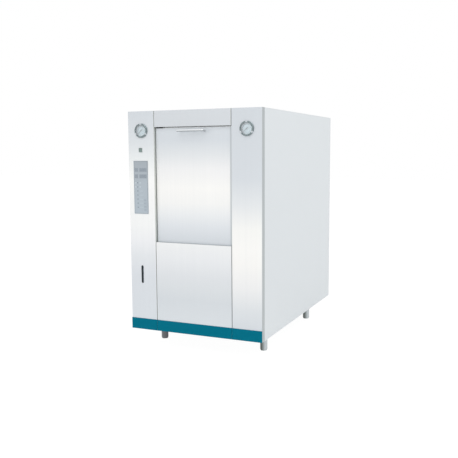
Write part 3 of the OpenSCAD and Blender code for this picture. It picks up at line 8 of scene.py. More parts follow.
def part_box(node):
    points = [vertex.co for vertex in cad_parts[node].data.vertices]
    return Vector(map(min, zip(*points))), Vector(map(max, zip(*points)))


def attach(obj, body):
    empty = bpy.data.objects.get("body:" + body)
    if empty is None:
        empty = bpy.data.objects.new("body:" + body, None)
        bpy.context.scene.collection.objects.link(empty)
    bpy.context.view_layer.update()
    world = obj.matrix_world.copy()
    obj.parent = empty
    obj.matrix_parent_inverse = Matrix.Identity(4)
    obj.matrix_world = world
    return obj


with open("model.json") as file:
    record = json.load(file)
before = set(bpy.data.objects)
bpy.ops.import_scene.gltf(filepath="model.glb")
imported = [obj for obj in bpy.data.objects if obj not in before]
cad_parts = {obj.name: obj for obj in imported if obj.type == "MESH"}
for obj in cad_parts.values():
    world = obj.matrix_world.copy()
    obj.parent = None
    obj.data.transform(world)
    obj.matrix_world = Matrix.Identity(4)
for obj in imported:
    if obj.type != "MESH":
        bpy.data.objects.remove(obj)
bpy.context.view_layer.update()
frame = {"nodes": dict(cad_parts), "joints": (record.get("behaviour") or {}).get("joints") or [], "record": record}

# CAMERA
# The lens stands at eye height, to the right of the machine, and looks slightly down at it.
bpy.ops.object.camera_add(location=(2.1857, -5.1006, 1.4834))
camera = bpy.context.object
yaw, pitch, roll = -0.4220, -0.1152, -0.0061
ahead = Vector((math.sin(yaw) * math.cos(pitch), math.cos(yaw) * math.cos(pitch), math.sin(pitch)))
level = Vector((math.cos(yaw), -math.sin(yaw), 0))
upright = level.cross(ahead)
lens_right = level * math.cos(roll) + upright * math.sin(roll)
lens_top = upright * math.cos(roll) - level * math.sin(roll)
turned = Matrix((lens_right, lens_top, -ahead)).transposed().to_4x4()
camera.matrix_world = Matrix.Translation(camera.location) @ turned
camera.data.sensor_width = 36
camera.data.lens = 52.04
bpy.context.scene.camera = camera
bpy.context.scene.view_settings.view_transform = "Standard"


# STUDIO
# A white room: an even sky, a large soft lamp above the front and a weaker one on the right, and a pale
# floor that the camera sees as white, with only a trace of the machine's shadow.
class Signal:
    """A socket whose value changes over a surface; arithmetic on it adds Math nodes."""

    def __init__(self, recipe, socket):
        self.recipe, self.socket = recipe, socket

    def math(self, operation, first, second=0.0):
        return self.recipe.node("ShaderNodeMath", {"operation": operation}, {0: first, 1: second})

    def __add__(self, other):
        return self.math("ADD", self, other)

    def __radd__(self, other):
        return self.math("ADD", other, self)

    def __sub__(self, other):
        return self.math("SUBTRACT", self, other)

    def __rsub__(self, other):
        return self.math("SUBTRACT", other, self)

    def __mul__(self, other):
        return self.math("MULTIPLY", self, other)

    def __rmul__(self, other):
        return self.math("MULTIPLY", other, self)

    def __gt__(self, other):
        return self.math("GREATER_THAN", self, other)

    def __lt__(self, other):
        return self.math("LESS_THAN", self, other)

    def __abs__(self):
        return self.math("ABSOLUTE", self)

    def sign(self):
        return self.math("SIGN", self)

    def root(self):
        return self.math("SQRT", self)


class Recipe:
    """A tree of shader nodes, written as formulas."""

    def __init__(self, tree):
        self.tree = tree

    def node(self, kind, settings=(), sockets=(), out=0):
        """A new node with its settings made and its sockets filled; gives one of its outputs."""
        made = self.tree.nodes.new(kind)
        for key, value in dict(settings).items():
            if key == "stops":
                ramp = made.color_ramp.elements
                ramp[0].position, ramp[-1].position = value[0][0], value[-1][0]
                ramp[0].color, ramp[-1].color = value[0][1], value[-1][1]
                for at, colour in value[1:-1]:
                    ramp.new(at).color = colour
            else:
                setattr(made, key, value)
        for key, value in dict(sockets).items():
            if isinstance(value, Signal):
                self.link(value, made.inputs[key])
            else:
                made.inputs[key].default_value = value
        return Signal(self, made.outputs[out])

    def link(self, signal, socket):
        self.tree.links.new(signal.socket, socket)

    def in_sight(self):
        """1 for what the camera sees directly, mirrored or through glass, and 0 for all other light."""
        seen = self.node("ShaderNodeLightPath", out="Is Camera Ray")
        mirrored = self.node("ShaderNodeLightPath", out="Is Glossy Ray")
        through = self.node("ShaderNodeLightPath", out="Is Transmission Ray")
        return (seen + mirrored + through) > 0.5


world = bpy.data.worlds.new("studio")
world.use_nodes = True
bpy.context.scene.world = world
sky = Recipe(world.node_tree)
sky_light, sky_white = 0.80, 1.0
backdrop = sky.tree.nodes["Background"]
backdrop.inputs["Color"].default_value = (1, 1, 1, 1)
sky.link(sky_light + sky.in_sight() * (sky_white - sky_light), backdrop.inputs["Strength"])

for name, place, aim, size, watts in (
        ("key_lamp", (0.6, -4.2, 4.4), (0, -0.6, 0.9), 3.0, 66),
        ("side_lamp", (5.4, 0.8, 3.2), (0.3, 0, 0.9), 3.2, 40)):
    bpy.ops.object.light_add(type="AREA", location=place)
    lamp = bpy.context.object
    lamp.name = name
    lamp.data.size = size
    lamp.data.energy = watts
    lamp.rotation_euler = (Vector(aim) - Vector(place)).to_track_quat("-Z", "Y").to_euler()

bpy.ops.mesh.primitive_plane_add(size=60, location=(0, 0, 0))
floor = bpy.context.object
floor.name = "studio_floor"
floor_paint = bpy.data.materials.new("studio_floor")
floor_paint.use_nodes = True
ground = Recipe(floor_paint.node_tree)
matt = ground.tree.nodes["Principled BSDF"]
matt.inputs["Base Color"].default_value = (0.93, 0.93, 0.93, 1)
matt.inputs["Roughness"].default_value = 0.9
matt.inputs["Specular IOR Level"].default_value = 0.1
glow = ground.node("ShaderNodeEmission", {}, {"Color": (1, 1, 1, 1), "Strength": 1.08})
glow_share = 0.90
mixed = ground.node("ShaderNodeMixShader", {}, {
    0: ground.in_sight() * glow_share, 1: Signal(ground, matt.outputs[0]), 2: glow})
ground.link(mixed, ground.tree.nodes["Material Output"].inputs["Surface"])
floor.data.materials.append(floor_paint)


# FRAME
# Square steel tube, cut and welded, sprayed with a grey stoving paint. It carries the vessel and every
# panel, and a folded tray on it carries the pumps.
def screen(red, green, blue):
    """A colour as it is read on a screen, from 0 to 255, turned into the renderer's linear values."""
    values = [c / 255 for c in (red, green, blue)]
    return tuple(c / 12.92 if c < 0.04045 else ((c + 0.055) / 1.055) ** 2.4 for c in values) + (1,)


class Finish(Recipe):
    """A material for the machine, read in the machine's own coordinates."""

    def __init__(self, name, constants):
        self.material = bpy.data.materials.new(name)
        self.material.use_nodes = True
        super().__init__(self.material.node_tree)
        self.shader = self.tree.nodes["Principled BSDF"]
        for socket, value in constants.items():
            self.shader.inputs[socket].default_value = value
        self.place = self.node("ShaderNodeTexCoord", out="Object")

    def along(self, axis):
        """How far a point lies along X, Y or Z, in metres."""
        return self.node("ShaderNodeSeparateXYZ", {}, {"Vector": self.place}, out=axis)

    def looking(self, axis):
        """How much a face looks along X, Y or Z, from -1 to 1."""
        normal = self.node("ShaderNodeTexCoord", out="Normal")
        return self.node("ShaderNodeSeparateXYZ", {}, {"Vector": normal}, out=axis)

    def noise(self, stretch, detail=2.0, softness=0.5):
        """Noise whose fineness along X, Y and Z is given apart."""
        stretched = self.node("ShaderNodeMapping", {}, {"Vector": self.place, "Scale": stretch})
        return self.node("ShaderNodeTexNoise", {}, {
            "Vector": stretched, "Scale": 1.0, "Detail": detail, "Roughness": softness})

    def mottle(self, fineness, detail=2.0):
        """Noise that is equally fine every way."""
        return self.noise((fineness, fineness, fineness), detail)

    def grade(self, stops, amount):
        """A colour that follows an amount from 0 to 1; each stop is an amount and a screen colour."""
        ramp = [(at, screen(*shade)) for at, shade in stops]
        return self.node("ShaderNodeValToRGB", {"stops": ramp}, {"Fac": amount})

    def coat(self, colour, toward, amount):
        """Gives the finish a colour, which an amount from 0 to 1 takes toward another one."""
        self.colour = self.node("ShaderNodeMix", {"data_type": "RGBA"}, {
            0: amount, 6: colour, 7: toward}, out=2)
        return self.feed("Base Color", self.colour)

    def stain(self, toward, amount):
        """Takes the colour that it has so far toward another one."""
        return self.coat(self.colour, toward, amount)

    def feed(self, socket, signal):
        self.link(signal, self.shader.inputs[socket])
        return self

    def relief(self, height, strength, depth):
        bump = self.node("ShaderNodeBump", {}, {"Strength": strength, "Distance": depth, "Height": height})
        return self.feed("Normal", bump)

    def dress(self, *names):
        for name in names:
            for slot in frame["nodes"][name].material_slots:
                slot.material = self.material


def painted(name, colour, worn, gloss=0.42, peel=260, specular=0.45):
    """Stoved paint: a slight orange peel, faint cloudiness and an uneven shine."""
    paint = Finish(name, {"Metallic": 0.0, "Specular IOR Level": specular})
    clouds = paint.mottle(2.2, detail=3.0)
    paint.coat(colour, worn, clouds * 0.35)
    skin = paint.mottle(peel, detail=1.0)
    paint.feed("Roughness", gloss + skin * 0.12)
    return paint.relief(skin, strength=0.10, depth=0.0004)


frame_paint = painted("frame_paint", screen(168, 173, 176), screen(150, 155, 159))
frame_paint.dress("corner_posts", "base_rails", "vessel_bearers", "top_rails")


# LEGS
# Turned stainless tube with a welded flange under the frame, and a lock nut on the spindle. Its colour holds
# painted light and shade that follow the way that each side faces, and the legs on the left take a darker painted
# shade, as they stand further from the light.
def brush(steel, stretch, shine):
    """Fine lines one way, with a satin shine and a slight relief."""
    lines = steel.noise(stretch, detail=3.0, softness=0.6)
    steel.feed("Roughness", shine + lines * 0.16).relief(lines, strength=0.12, depth=0.0002)
    return lines


def brushed(name, colour, dark, stretch, shine=0.30, metal=0.85):
    """Stainless steel brushed one way, with longer streaks in its colour."""
    steel = Finish(name, {"Metallic": metal})
    lines = brush(steel, stretch, shine)
    streaks = steel.noise(tuple(s * 0.06 for s in stretch))
    return steel.coat(colour, dark, lines * 0.22 + streaks * 0.25)


leg_steel = Finish("leg_steel", {"Metallic": 0.85})
leg_grain = (30, 30, 900)
brush(leg_steel, leg_grain, shine=0.24)
light_right, light_back, light_middle, ring_share = 0.456, 0.205, 0.47, 0.06
rings = leg_steel.noise(leg_grain, detail=3.0)
toward_light = leg_steel.looking("X") * light_right + leg_steel.looking("Y") * light_back
toward_light = toward_light + light_middle + rings * ring_share
# Painted light: the side that faces the room's light is paler and the far side darker.
lit = leg_steel.grade([
    (0.0, (110, 116, 114)), (0.12, (88, 94, 92)), (0.28, (124, 131, 129)), (0.42, (153, 160, 161)),
    (0.57, (184, 191, 194)), (0.72, (197, 203, 205)), (0.86, (190, 196, 199)), (1.0, (196, 202, 205))],
    toward_light)
shaded = leg_steel.grade([
    (0.0, (126, 130, 132)), (0.3, (110, 113, 115)), (0.75, (100, 102, 105)), (1.0, (72, 74, 77))],
    toward_light)
leg_steel.coat(lit, shaded, leg_steel.along("X") < 0)
leg_steel.dress("legs")
mill_steel = brushed("mill_steel", screen(186, 190, 194), screen(150, 154, 158), (160, 160, 160),
                     shine=0.36)
mill_steel.dress("leg_locknuts", "seam_clips", "door_guides", "door_ribs", "rod_brackets", "control_housing")


# PALE PANELS
# Sides, top and louvred back: folded sheet, stove-painted in a cool pale grey, hung on the frame.
side_paint = painted("side_paint", screen(224, 229, 232), screen(219, 224, 227), gloss=0.48, peel=320)
side_paint.dress("left_side_panel", "right_side_panel", "top_panel", "rear_panel")


# STAINLESS FRONT
# Every front panel is folded from sheet with an upright grain. Each has a painted reflection of the room's light
# in one broad soft band at its own height, because each stands at a slightly different angle; its faces turned
# away from the front get painted shade.
def front_sheet(name, stops, painted_light_returns=(), painted_shade_from=0.0):
    """Upright brushed stainless; stops give painted bands of reflected light and shade at heights above the floor,
    in metres. The folded returns that face the listed ways are painted paler, as light in the gaps, and from the
    given X on, the edge gets a painted shade."""
    sheet = Finish(name, {"Metallic": 0.55, "Specular IOR Level": 0.4})
    reach = 2.0
    # The stops make painted bands of reflected light and shade up the sheet.
    band = sheet.grade([(z / reach, shade) for z, shade in stops], sheet.along("Z") * (1 / reach))
    streaks = sheet.noise((70, 70, 0.7), detail=3.0)
    sheet.coat(band, screen(190, 196, 202), streaks * 0.12)
    grain = sheet.noise((1400, 1400, 14), softness=0.6)
    sheet.stain(screen(176, 182, 188), grain * 0.10)
    # A painted shade along the door's right edge, where the skin dips behind the column.
    if painted_shade_from:
        sheet.stain(screen(186, 192, 196), (sheet.along("X") > painted_shade_from) * 0.8)
    # Faces turned away from the front get painted shade, as a darker reflection.
    painted_dark_turn = sheet.node("ShaderNodeMapRange", {}, {
        "Value": 0 - sheet.looking("Y"), "From Min": 0.5, "From Max": 0.98, "To Min": 1.0, "To Max": 0.0})
    sheet.stain(screen(176, 182, 184), painted_dark_turn)
    # Folded returns that face the listed ways are painted paler, as light in the gaps.
    for axis, sign in painted_light_returns:
        sheet.stain(screen(216, 219, 214), sheet.looking(axis) * sign > 0.5)
    sheet.feed("Roughness", 0.30 + grain * 0.14)
    return sheet.relief(grain, strength=0.08, depth=0.0002)


# The brightest stop is a painted highlight.
cool, painted_highlight = (216, 221, 226), (253, 252, 249)
left_sheet = front_sheet("left_sheet", [
    (0.30, (221, 226, 231)), (0.56, (222, 226, 231)), (0.72, (232, 235, 238)), (0.83, (243, 244, 246)),
    (0.95, (249, 250, 249)), (1.10, (250, 250, 249)), (1.28, (254, 254, 252)), (1.43, (239, 242, 242)),
    (1.55, (225, 229, 232)), (1.76, (214, 219, 224))], painted_light_returns=[("X", 1)])
left_sheet.dress("left_column_panel")
right_sheet = front_sheet("right_sheet", [
    (0.24, cool), (0.36, (224, 228, 231)), (0.53, (242, 242, 242)), (0.70, (251, 250, 247)),
    (0.80, painted_highlight), (0.95, (249, 249, 246)), (1.12, (231, 234, 236)), (1.30, cool), (1.76, (209, 214, 219))])
right_sheet.dress("right_column_panel")
# A painted shade runs along the door's right edge, this wide.
painted_shade_width = 0.0175
door_sheet = front_sheet("door_sheet", [
    (0.86, cool), (0.95, (227, 231, 235)), (1.04, (240, 242, 243)), (1.12, (249, 249, 247)),
    (1.23, painted_highlight), (1.37, (244, 244, 244)), (1.47, (229, 232, 234)), (1.57, cool)],
    painted_shade_from=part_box("door_skin")[1].x - painted_shade_width)
door_sheet.dress("door_skin")
lower_sheet = front_sheet("lower_sheet", [
    (0.24, (221, 226, 230)), (0.40, (216, 221, 225)), (0.50, (222, 226, 229)), (0.58, (226, 229, 232)),
    (0.70, (236, 238, 240)), (0.83, (244, 245, 245))])
lower_sheet.dress("lower_centre_panel")
top_sheet = front_sheet("top_sheet", [(0.2, (212, 217, 221)), (1.8, (213, 217, 221))],
                        painted_light_returns=[("Z", -1), ("X", 1)])
top_sheet.dress("top_centre_panel")


# KICK BANDS
# Three strips of steel along the foot, sprayed a dull teal and fixed from behind.
teal_paint = painted("teal_paint", screen(0, 112, 135), screen(0, 104, 127), gloss=0.5, specular=0.04)
teal_paint.dress("kick_bands")


# GAUGES
# Two round steam gauges: a pressed case behind the panel, a pale dial with a printed scale, a flat glass, and a
# dark bezel ring held by screws in its three lugs, each lug with a painted highlight round its screw.
def mottled(name, constants, colour, other, fineness, detail, shine, uneven, bump=None):
    """A finish with one even noise in its colour, in its roughness and, where bump gives a strength and
    a depth, in its relief."""
    finish = Finish(name, constants)
    spots = finish.mottle(fineness, detail)
    finish.coat(colour, other, spots).feed("Roughness", shine + spots * uneven)
    return finish.relief(spots, *bump) if bump else finish


def round_points(count, radius, first):
    """Where equally spaced points of a circle lie across and up from its centre; first is in degrees."""
    angles = [math.radians(first + 360 / count * k) for k in range(count)]
    return [(radius * math.cos(a), radius * math.sin(a)) for a in angles]


def front_of(node):
    """The Y of a CAD piece's front; the machine's front is its lowest Y."""
    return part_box(node)[0].y


joints = {joint["name"]: joint for joint in frame["joints"]}
gauge_places = {}
for side in ("left", "right"):
    arbor = Vector(joints[f"{side}_pointer_turn"]["pos_m"])
    gauge_places[side] = Vector((arbor.x, front_of("gauge_dials"), arbor.z))
gauge_x, gauge_z = gauge_places["right"].x, gauge_places["right"].z
lug_points = round_points(3, radius=0.0460, first=90)
lug_glint_radius = 0.0072

case_paint = painted("gauge_case", screen(70, 74, 78), screen(56, 60, 64))
case_paint.dress("gauge_cases")
bezel_chrome = mottled("bezel_chrome", {"Metallic": 0.9}, screen(119, 133, 135), screen(139, 149, 151),
                       fineness=60, detail=2.0, shine=0.16, uneven=0.12)
# Painted highlights: a pale spot round each lug's screw.
for across, up in lug_points:
    aside = abs(bezel_chrome.along("X")) - (gauge_x + across)
    above = bezel_chrome.along("Z") - (gauge_z + up)
    bezel_chrome.stain(screen(214, 220, 224), aside * aside + above * above < lug_glint_radius ** 2)
bezel_chrome.dress("gauge_bezels")

# A painted shadow of the case lies round each dial's rim, most on the upper left, so the painted shade is a ring
# with its middle set to the lower right of the dial's.
dial_paint = painted("dial_paint", screen(200, 219, 226), screen(192, 211, 219), gloss=0.55)
shade_right, shade_down = 0.009, 0.008
rightward = dial_paint.along("X")
aside = (abs(rightward) - gauge_x) * rightward.sign() - shade_right
above = dial_paint.along("Z") - (gauge_z - shade_down)
shade_ring = dial_paint.node("ShaderNodeMapRange", {"interpolation_type": "SMOOTHSTEP"}, {
    "Value": (aside * aside + above * above).root(),
    "From Min": 0.030, "From Max": 0.046, "To Min": 0.0, "To Max": 0.8})
dial_paint.stain(screen(140, 154, 164), shade_ring)
dial_paint.dress("gauge_dials")
gauge_glass = Finish("gauge_glass", {
    "Base Color": (0.95, 0.98, 1, 1), "Roughness": 0.03, "IOR": 1.2, "Alpha": 0.16})
gauge_glass.dress("gauge_lenses")
pointer_paint = painted("pointer_paint", screen(92, 108, 114), screen(80, 96, 102))
pointer_paint.dress("left_pointer", "right_pointer")


def only(piece):
    """Selects one piece and nothing else, for the next operator."""
    bpy.ops.object.select_all(action="DESELECT")
    piece.select_set(True)
    bpy.context.view_layer.objects.active = piece
    return piece


def start(name):
    """The object just added, named, with nothing else selected."""
    made = only(bpy.context.object)
    made.name = name
    return made


def settle(piece, body, finish):
    """Puts a piece's place into its mesh, and gives it its body, slot and finish."""
    only(piece)
    bpy.ops.object.transform_apply(location=True, rotation=True, scale=True)
    piece.data.materials.clear()
    piece.data.materials.append(finish.material)
    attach(piece, body)


def copies(model, name, places):
    """One mesh of like pieces: the model is copied to each place, then all are joined."""
    made = []
    for place in places:
        twin = model.copy()
        twin.data = model.data.copy()
        bpy.context.collection.objects.link(twin)
        twin.data.transform(place)
        made.append(twin)
    bpy.data.objects.remove(model)
    only(made[0])
    for twin in made:
        twin.select_set(True)
    bpy.ops.object.join()
    made[0].name = name
    return made[0]


def facing(x, y, z, turn=0.0):
    """A place on the front: the model's Z points to the user, and turn is anticlockwise as seen."""
    return (Matrix.Translation((x, y, z)) @ Matrix.Rotation(math.radians(90), 4, "X") @
            Matrix.Rotation(math.radians(turn), 4, "Z"))


def on_dial(centre, angle, radius):
    """A place on a dial, where the model's X points outwards."""
    return facing(*centre, angle) @ Matrix.Translation((radius, 0, 0))


ink_film = 0.0002


def stroke(name, length, width):
    """A flat printed stroke along X, as thick as the ink, with softened corners; it lies on Z = 0."""
    bpy.ops.object.select_all(action="DESELECT")
    bpy.ops.mesh.primitive_cube_add(size=1, location=(0, 0, ink_film / 2), scale=(length, width, ink_film))
    mark = start(name)
    bpy.ops.object.transform_apply(location=True, rotation=True, scale=True)
    bpy.ops.object.mode_set(mode="EDIT")
    bpy.ops.mesh.select_all(action="SELECT")
    bpy.ops.mesh.bevel(offset=ink_film * 0.3, segments=1)
    bpy.ops.object.mode_set(mode="OBJECT")
    return mark


def printed(name, colour, worn, shine=0.55):
    """Screen-printed ink, a little uneven in tone and shine."""
    ink = Finish(name, {"Specular IOR Level": 0.35})
    film = ink.mottle(350)
    return ink.coat(colour, worn, film * 0.6).feed("Roughness", shine + film * 0.1)


# The scale runs clockwise, over all that the pointer turns. It has ten long divisions of five short ones,
# with a figure at every second long tick.
scale_ink = printed("scale_ink", screen(116, 134, 142), screen(128, 146, 153))
scale_start, scale_sweep = 220, joints["left_pointer_turn"]["range_deg"][1]
long_angles = [scale_start - scale_sweep / 10 * k for k in range(11)]
short_angles = [scale_start - scale_sweep / 50 * k for k in range(51) if k % 5]
figure_size, figure_radius = 0.0105, 0.0270
for side, centre in gauge_places.items():
    for kind, angles, length, width, radius in (
            ("long", long_angles, 0.0075, 0.0011, 0.0368),
            ("short", short_angles, 0.0040, 0.0006, 0.0385)):
        ticks = copies(stroke("tick", length, width), f"{side}_{kind}_ticks",
                       [on_dial(centre, angle, radius) for angle in angles])
        settle(ticks, "cabinet", scale_ink)
    for number, angle in enumerate(long_angles[::2]):
        bpy.ops.object.text_add()
        figure = start(f"{side}_figure_{number}")
        figure.data.body = str(number)
        figure.data.size = figure_size
        figure.data.align_x, figure.data.align_y = "CENTER", "CENTER"
        figure.data.extrude = ink_film / 2
        bpy.ops.object.convert(target="MESH")
        figure = bpy.context.object
        x, y, z = on_dial(centre, angle, figure_radius).translation
        figure.data.transform(facing(x, y - ink_film / 2, z))
        settle(figure, "cabinet", scale_ink)


def slotted_screw(name, radius, height):
    """A low cheese-head screw: its rim is softened and its slot is cut to half its height; its foot is at
    Z = 0."""
    rim, slot_length, slot_width = height * 0.4, radius * 3, radius * 0.28
    bpy.ops.object.select_all(action="DESELECT")
    bpy.ops.mesh.primitive_cylinder_add(vertices=32, radius=radius, depth=height, location=(0, 0, height / 2))
    screw = start(name)
    bpy.ops.object.transform_apply(location=True, rotation=True, scale=True)
    bpy.ops.object.mode_set(mode="EDIT")
    bpy.ops.mesh.select_mode(type="EDGE")
    bpy.ops.mesh.select_all(action="DESELECT")
    shape = bmesh.from_edit_mesh(screw.data)
    for edge in shape.edges:
        edge.select = all(v.co.z > height * 0.9 for v in edge.verts)
    bmesh.update_edit_mesh(screw.data)
    bpy.ops.mesh.bevel(offset=rim, segments=3)
    bpy.ops.object.mode_set(mode="OBJECT")
    bpy.ops.mesh.primitive_cube_add(size=1, location=(0, 0, height), scale=(slot_length, slot_width, height))
    cutter = start(name + "_cutter")
    bpy.ops.object.transform_apply(location=True, rotation=True, scale=True)
    only(screw)
    slot = screw.modifiers.new("slot", "BOOLEAN")
    slot.operation, slot.object, slot.solver = "DIFFERENCE", cutter, "EXACT"
    bpy.ops.object.modifier_apply(modifier="slot")
    bpy.data.objects.remove(cutter)
    return screw


# The screws' feet lie just inside the ring, and each slot has stopped at its own angle.
screw_steel = brushed("screw_steel", screen(206, 211, 215), screen(180, 185, 190), (300, 300, 300),
                      shine=0.24, metal=0.6)
sunk = 0.0002
lug_places = [facing(centre.x + across, front_of("gauge_bezels") + sunk, centre.z + up, 35 * k)
              for centre in gauge_places.values() for k, (across, up) in enumerate(lug_points)]
settle(copies(slotted_screw("bezel_screw", radius=0.0042, height=0.0016), "bezel_screws", lug_places),
       "cabinet", screw_steel)


# POWER SWITCH
# A moulded grey rocker in a grey bezel that clips into the panel. Its halves are marked with a bar and a
# ring, and it is tipped by half its travel at rest.
switch_plastic = mottled("switch_plastic", {"Specular IOR Level": 0.5}, screen(144, 156, 153),
                         screen(134, 146, 143), fineness=900, detail=1.0, shine=0.34, uneven=0.14,
                         bump=(0.06, 0.0002))
switch_plastic.dress("switch_bezel")
rocker_plastic = mottled("rocker_plastic", {"Specular IOR Level": 0.5}, screen(130, 149, 145),
                         screen(118, 137, 133), fineness=700, detail=1.0, shine=0.40, uneven=0.14)
rocker_plastic.dress("power_rocker")
mark_ink = printed("mark_ink", screen(202, 209, 209), screen(186, 194, 194), shine=0.45)

rocker_pin = Vector(joints["power_rocker_tilt"]["pos_m"])
rocker_tip = joints["power_rocker_tilt"]["range_deg"][1] / 2
half_up, half_out, half_slope = 0.0055, 0.00765, 16.4


def on_rocker(half):
    """The middle of the rocker's lower half, -1, or of its upper half, 1."""
    return (facing(*rocker_pin) @ Matrix.Rotation(math.radians(rocker_tip), 4, "X") @
            Matrix.Translation((0, half * half_up, half_out)) @
            Matrix.Rotation(math.radians(half * half_slope), 4, "X"))


bar_mark = stroke("rocker_bar", length=0.0009, width=0.0040)
bar_mark.data.transform(on_rocker(-1))
settle(bar_mark, "power_rocker", mark_ink)
bpy.ops.object.select_all(action="DESELECT")
bpy.ops.mesh.primitive_torus_add(
    major_radius=0.0021, minor_radius=0.0004, major_segments=32, minor_segments=8)
ring_mark = start("rocker_ring")
ring_flatness = 0.4
ring_mark.data.transform(Matrix.Scale(ring_flatness, 4, (0, 0, 1)))
ring_mark.data.transform(on_rocker(1))
settle(ring_mark, "power_rocker", mark_ink)


# CONTROL PANEL
# A grey moulded face on a steel box: two rows of display windows with unlit figures in them, a column of
# lamps with printed labels beside them, and four flat keys low on the right.
face_plastic = Finish("face_plastic", {"Specular IOR Level": 0.4})
# The face's colour grows darker towards its top.
darkening_foot, darkening_height = 1.03, 0.4
top_darkening = face_plastic.grade([(0.0, (178, 189, 198)), (0.55, (176, 186, 194)), (1.0, (163, 171, 178))],
                          (face_plastic.along("Z") - darkening_foot) * (1 / darkening_height))
cast = face_plastic.mottle(600, detail=1.0)
face_plastic.coat(top_darkening, screen(160, 170, 180), cast * 0.2)
face_plastic.feed("Roughness", 0.42 + cast * 0.12).relief(cast, strength=0.05, depth=0.0002)
face_plastic.dress("control_face")
key_plastic = painted("key_plastic", screen(166, 177, 187), screen(158, 169, 180), gloss=0.4, peel=900)
key_plastic.dress("key_1", "key_2", "key_3", "key_4")
window_plastic = mottled("window_plastic", {"Specular IOR Level": 0.5, "Coat Weight": 0.3},
                         screen(156, 165, 174), screen(148, 158, 168), fineness=120, detail=2.0,
                         shine=0.22, uneven=0.1)
window_plastic.dress("panel_indicators")

low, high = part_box("control_face")
panel_x, face_y, panel_z = (low.x + high.x) / 2, low.y, (low.z + high.z) / 2
panel_w, panel_h = high.x - low.x, high.z - low.z


def on_face(across, up, y=face_y, turn=0.0):
    """A place on the panel's face, as shares of its width and height from the lower left corner."""
    return facing(panel_x + (across - 0.5) * panel_w, y, panel_z + (up - 0.5) * panel_h, turn)


# A printed stroke lies beside each of the five lower lamps, and a shorter, thicker one on either side of
# each of the two upper ones.
lamp_count, lamp_low, lamp_high = 7, 0.125, 0.585
lamp_ups = [lamp_low + (lamp_high - lamp_low) * k / (lamp_count - 1) for k in range(lamp_count)]
lamp_across, label_across, head_acrosses = 0.27, 0.53, (0.13, 0.44)
label_ink = printed("label_ink", screen(192, 203, 210), screen(182, 193, 201))
labels = copies(stroke("label", length=0.030, width=0.0042), "lamp_labels",
                [on_face(label_across, up) for up in lamp_ups[:-2]])
settle(labels, "cabinet", label_ink)
head_ink = printed("head_ink", screen(206, 215, 221), screen(196, 206, 213))
labels = copies(stroke("head_label", length=0.012, width=0.0062), "head_labels",
                [on_face(across, up) for across in head_acrosses for up in lamp_ups[-2:]])
settle(labels, "cabinet", head_ink)

# Each display's figures have seven segments: three lie level, and two stand on either side.
figure_ups, figure_acrosses = (0.71, 0.83), (0.14, 0.245, 0.47, 0.565, 0.66, 0.755, 0.85)
half_width, half_height = 0.031, 0.022
segments = []
for up in figure_ups:
    for across in figure_acrosses:
        segments += [on_face(across, up + rise) for rise in (-half_height, 0.0, half_height)]
        segments += [on_face(across + aside, up + rise, turn=90) for aside in (-half_width, half_width)
                     for rise in (-half_height / 2, half_height / 2)]
shade_ink = printed("shade_ink", screen(112, 124, 136), screen(124, 135, 147), shine=0.45)
settle(copies(stroke("segment", length=0.0058, width=0.0014), "display_segments", segments),
       "cabinet", shade_ink)

# The lamps' domes are flattened balls, half sunk into the lamps' faces.
dome_radius, dome_flatness = 0.0033, 0.35
bpy.ops.object.select_all(action="DESELECT")
bpy.ops.mesh.primitive_uv_sphere_add(segments=24, ring_count=12, radius=dome_radius)
lamp_dome = start("lamp_dome")
lamp_dome.data.transform(Matrix.Scale(dome_flatness, 4, (0, 0, 1)))
lamp_lens = mottled("lamp_lens", {"Coat Weight": 0.4, "Specular IOR Level": 0.5}, screen(56, 76, 96),
                    screen(72, 92, 110), fineness=500, detail=2.0, shine=0.16, uneven=0.1)
lamp_y = front_of("panel_indicators") + sunk
domes = copies(lamp_dome, "lamp_domes", [on_face(lamp_across, up, lamp_y) for up in lamp_ups])
bpy.ops.object.shade_smooth()
settle(domes, "cabinet", lamp_lens)

# A printed line runs round the face, in from its rim. The level lines end clear of the upright ones.
edge_ink = printed("edge_ink", screen(130, 139, 147), screen(142, 151, 158), shine=0.45)
edge_in, edge_width, edge_clear, edge_short = 0.004, 0.0022, 0.0003, 0.003
level_length = panel_w - 2 * edge_in - edge_width - 2 * edge_clear
upright_length = panel_h - 2 * edge_short
settle(copies(stroke("edge", level_length, edge_width), "panel_edges_across",
              [facing(panel_x, face_y, panel_z + s * (panel_h / 2 - edge_in)) for s in (-1, 1)]),
       "cabinet", edge_ink)
settle(copies(stroke("edge", upright_length, edge_width), "panel_edges_upright",
              [facing(panel_x + s * (panel_w / 2 - edge_in), face_y, panel_z, 90) for s in (-1, 1)]),
       "cabinet", edge_ink)


# LEVEL GAUGE
# A steel shield lies behind the slot and carries a glass tube between two fittings. One pale grey covers it all,
# as painted light that lifts the shade in the narrow slot.
shield_lit_grey = painted("shield_lit_grey", screen(134, 144, 150), screen(124, 134, 140), gloss=0.5)
shield_lit_grey.dress("level_gauge")


# VESSEL
# The square chamber, its jacket and the end frame are welded stainless plate, satin inside and out.
# The plate that closes the chamber is polished, and the door gasket is moulded silicone.
vessel_steel = brushed("vessel_steel", screen(212, 215, 218), screen(180, 184, 188), (120, 900, 120),
                       metal=0.75)
vessel_steel.dress("chamber", "chamber_fittings", "jacket", "end_frame")
plate_steel = brushed("plate_steel", screen(232, 234, 236), screen(218, 221, 224), (120, 900, 120),
                      shine=0.06, metal=0.95)
plate_steel.dress("door_plate")
silicone = mottled("silicone", {"Specular IOR Level": 0.3}, screen(176, 66, 52), screen(160, 54, 44),
                   fineness=40, detail=3.0, shine=0.55, uneven=0.2, bump=(0.1, 0.0004))
silicone.dress("door_gasket")


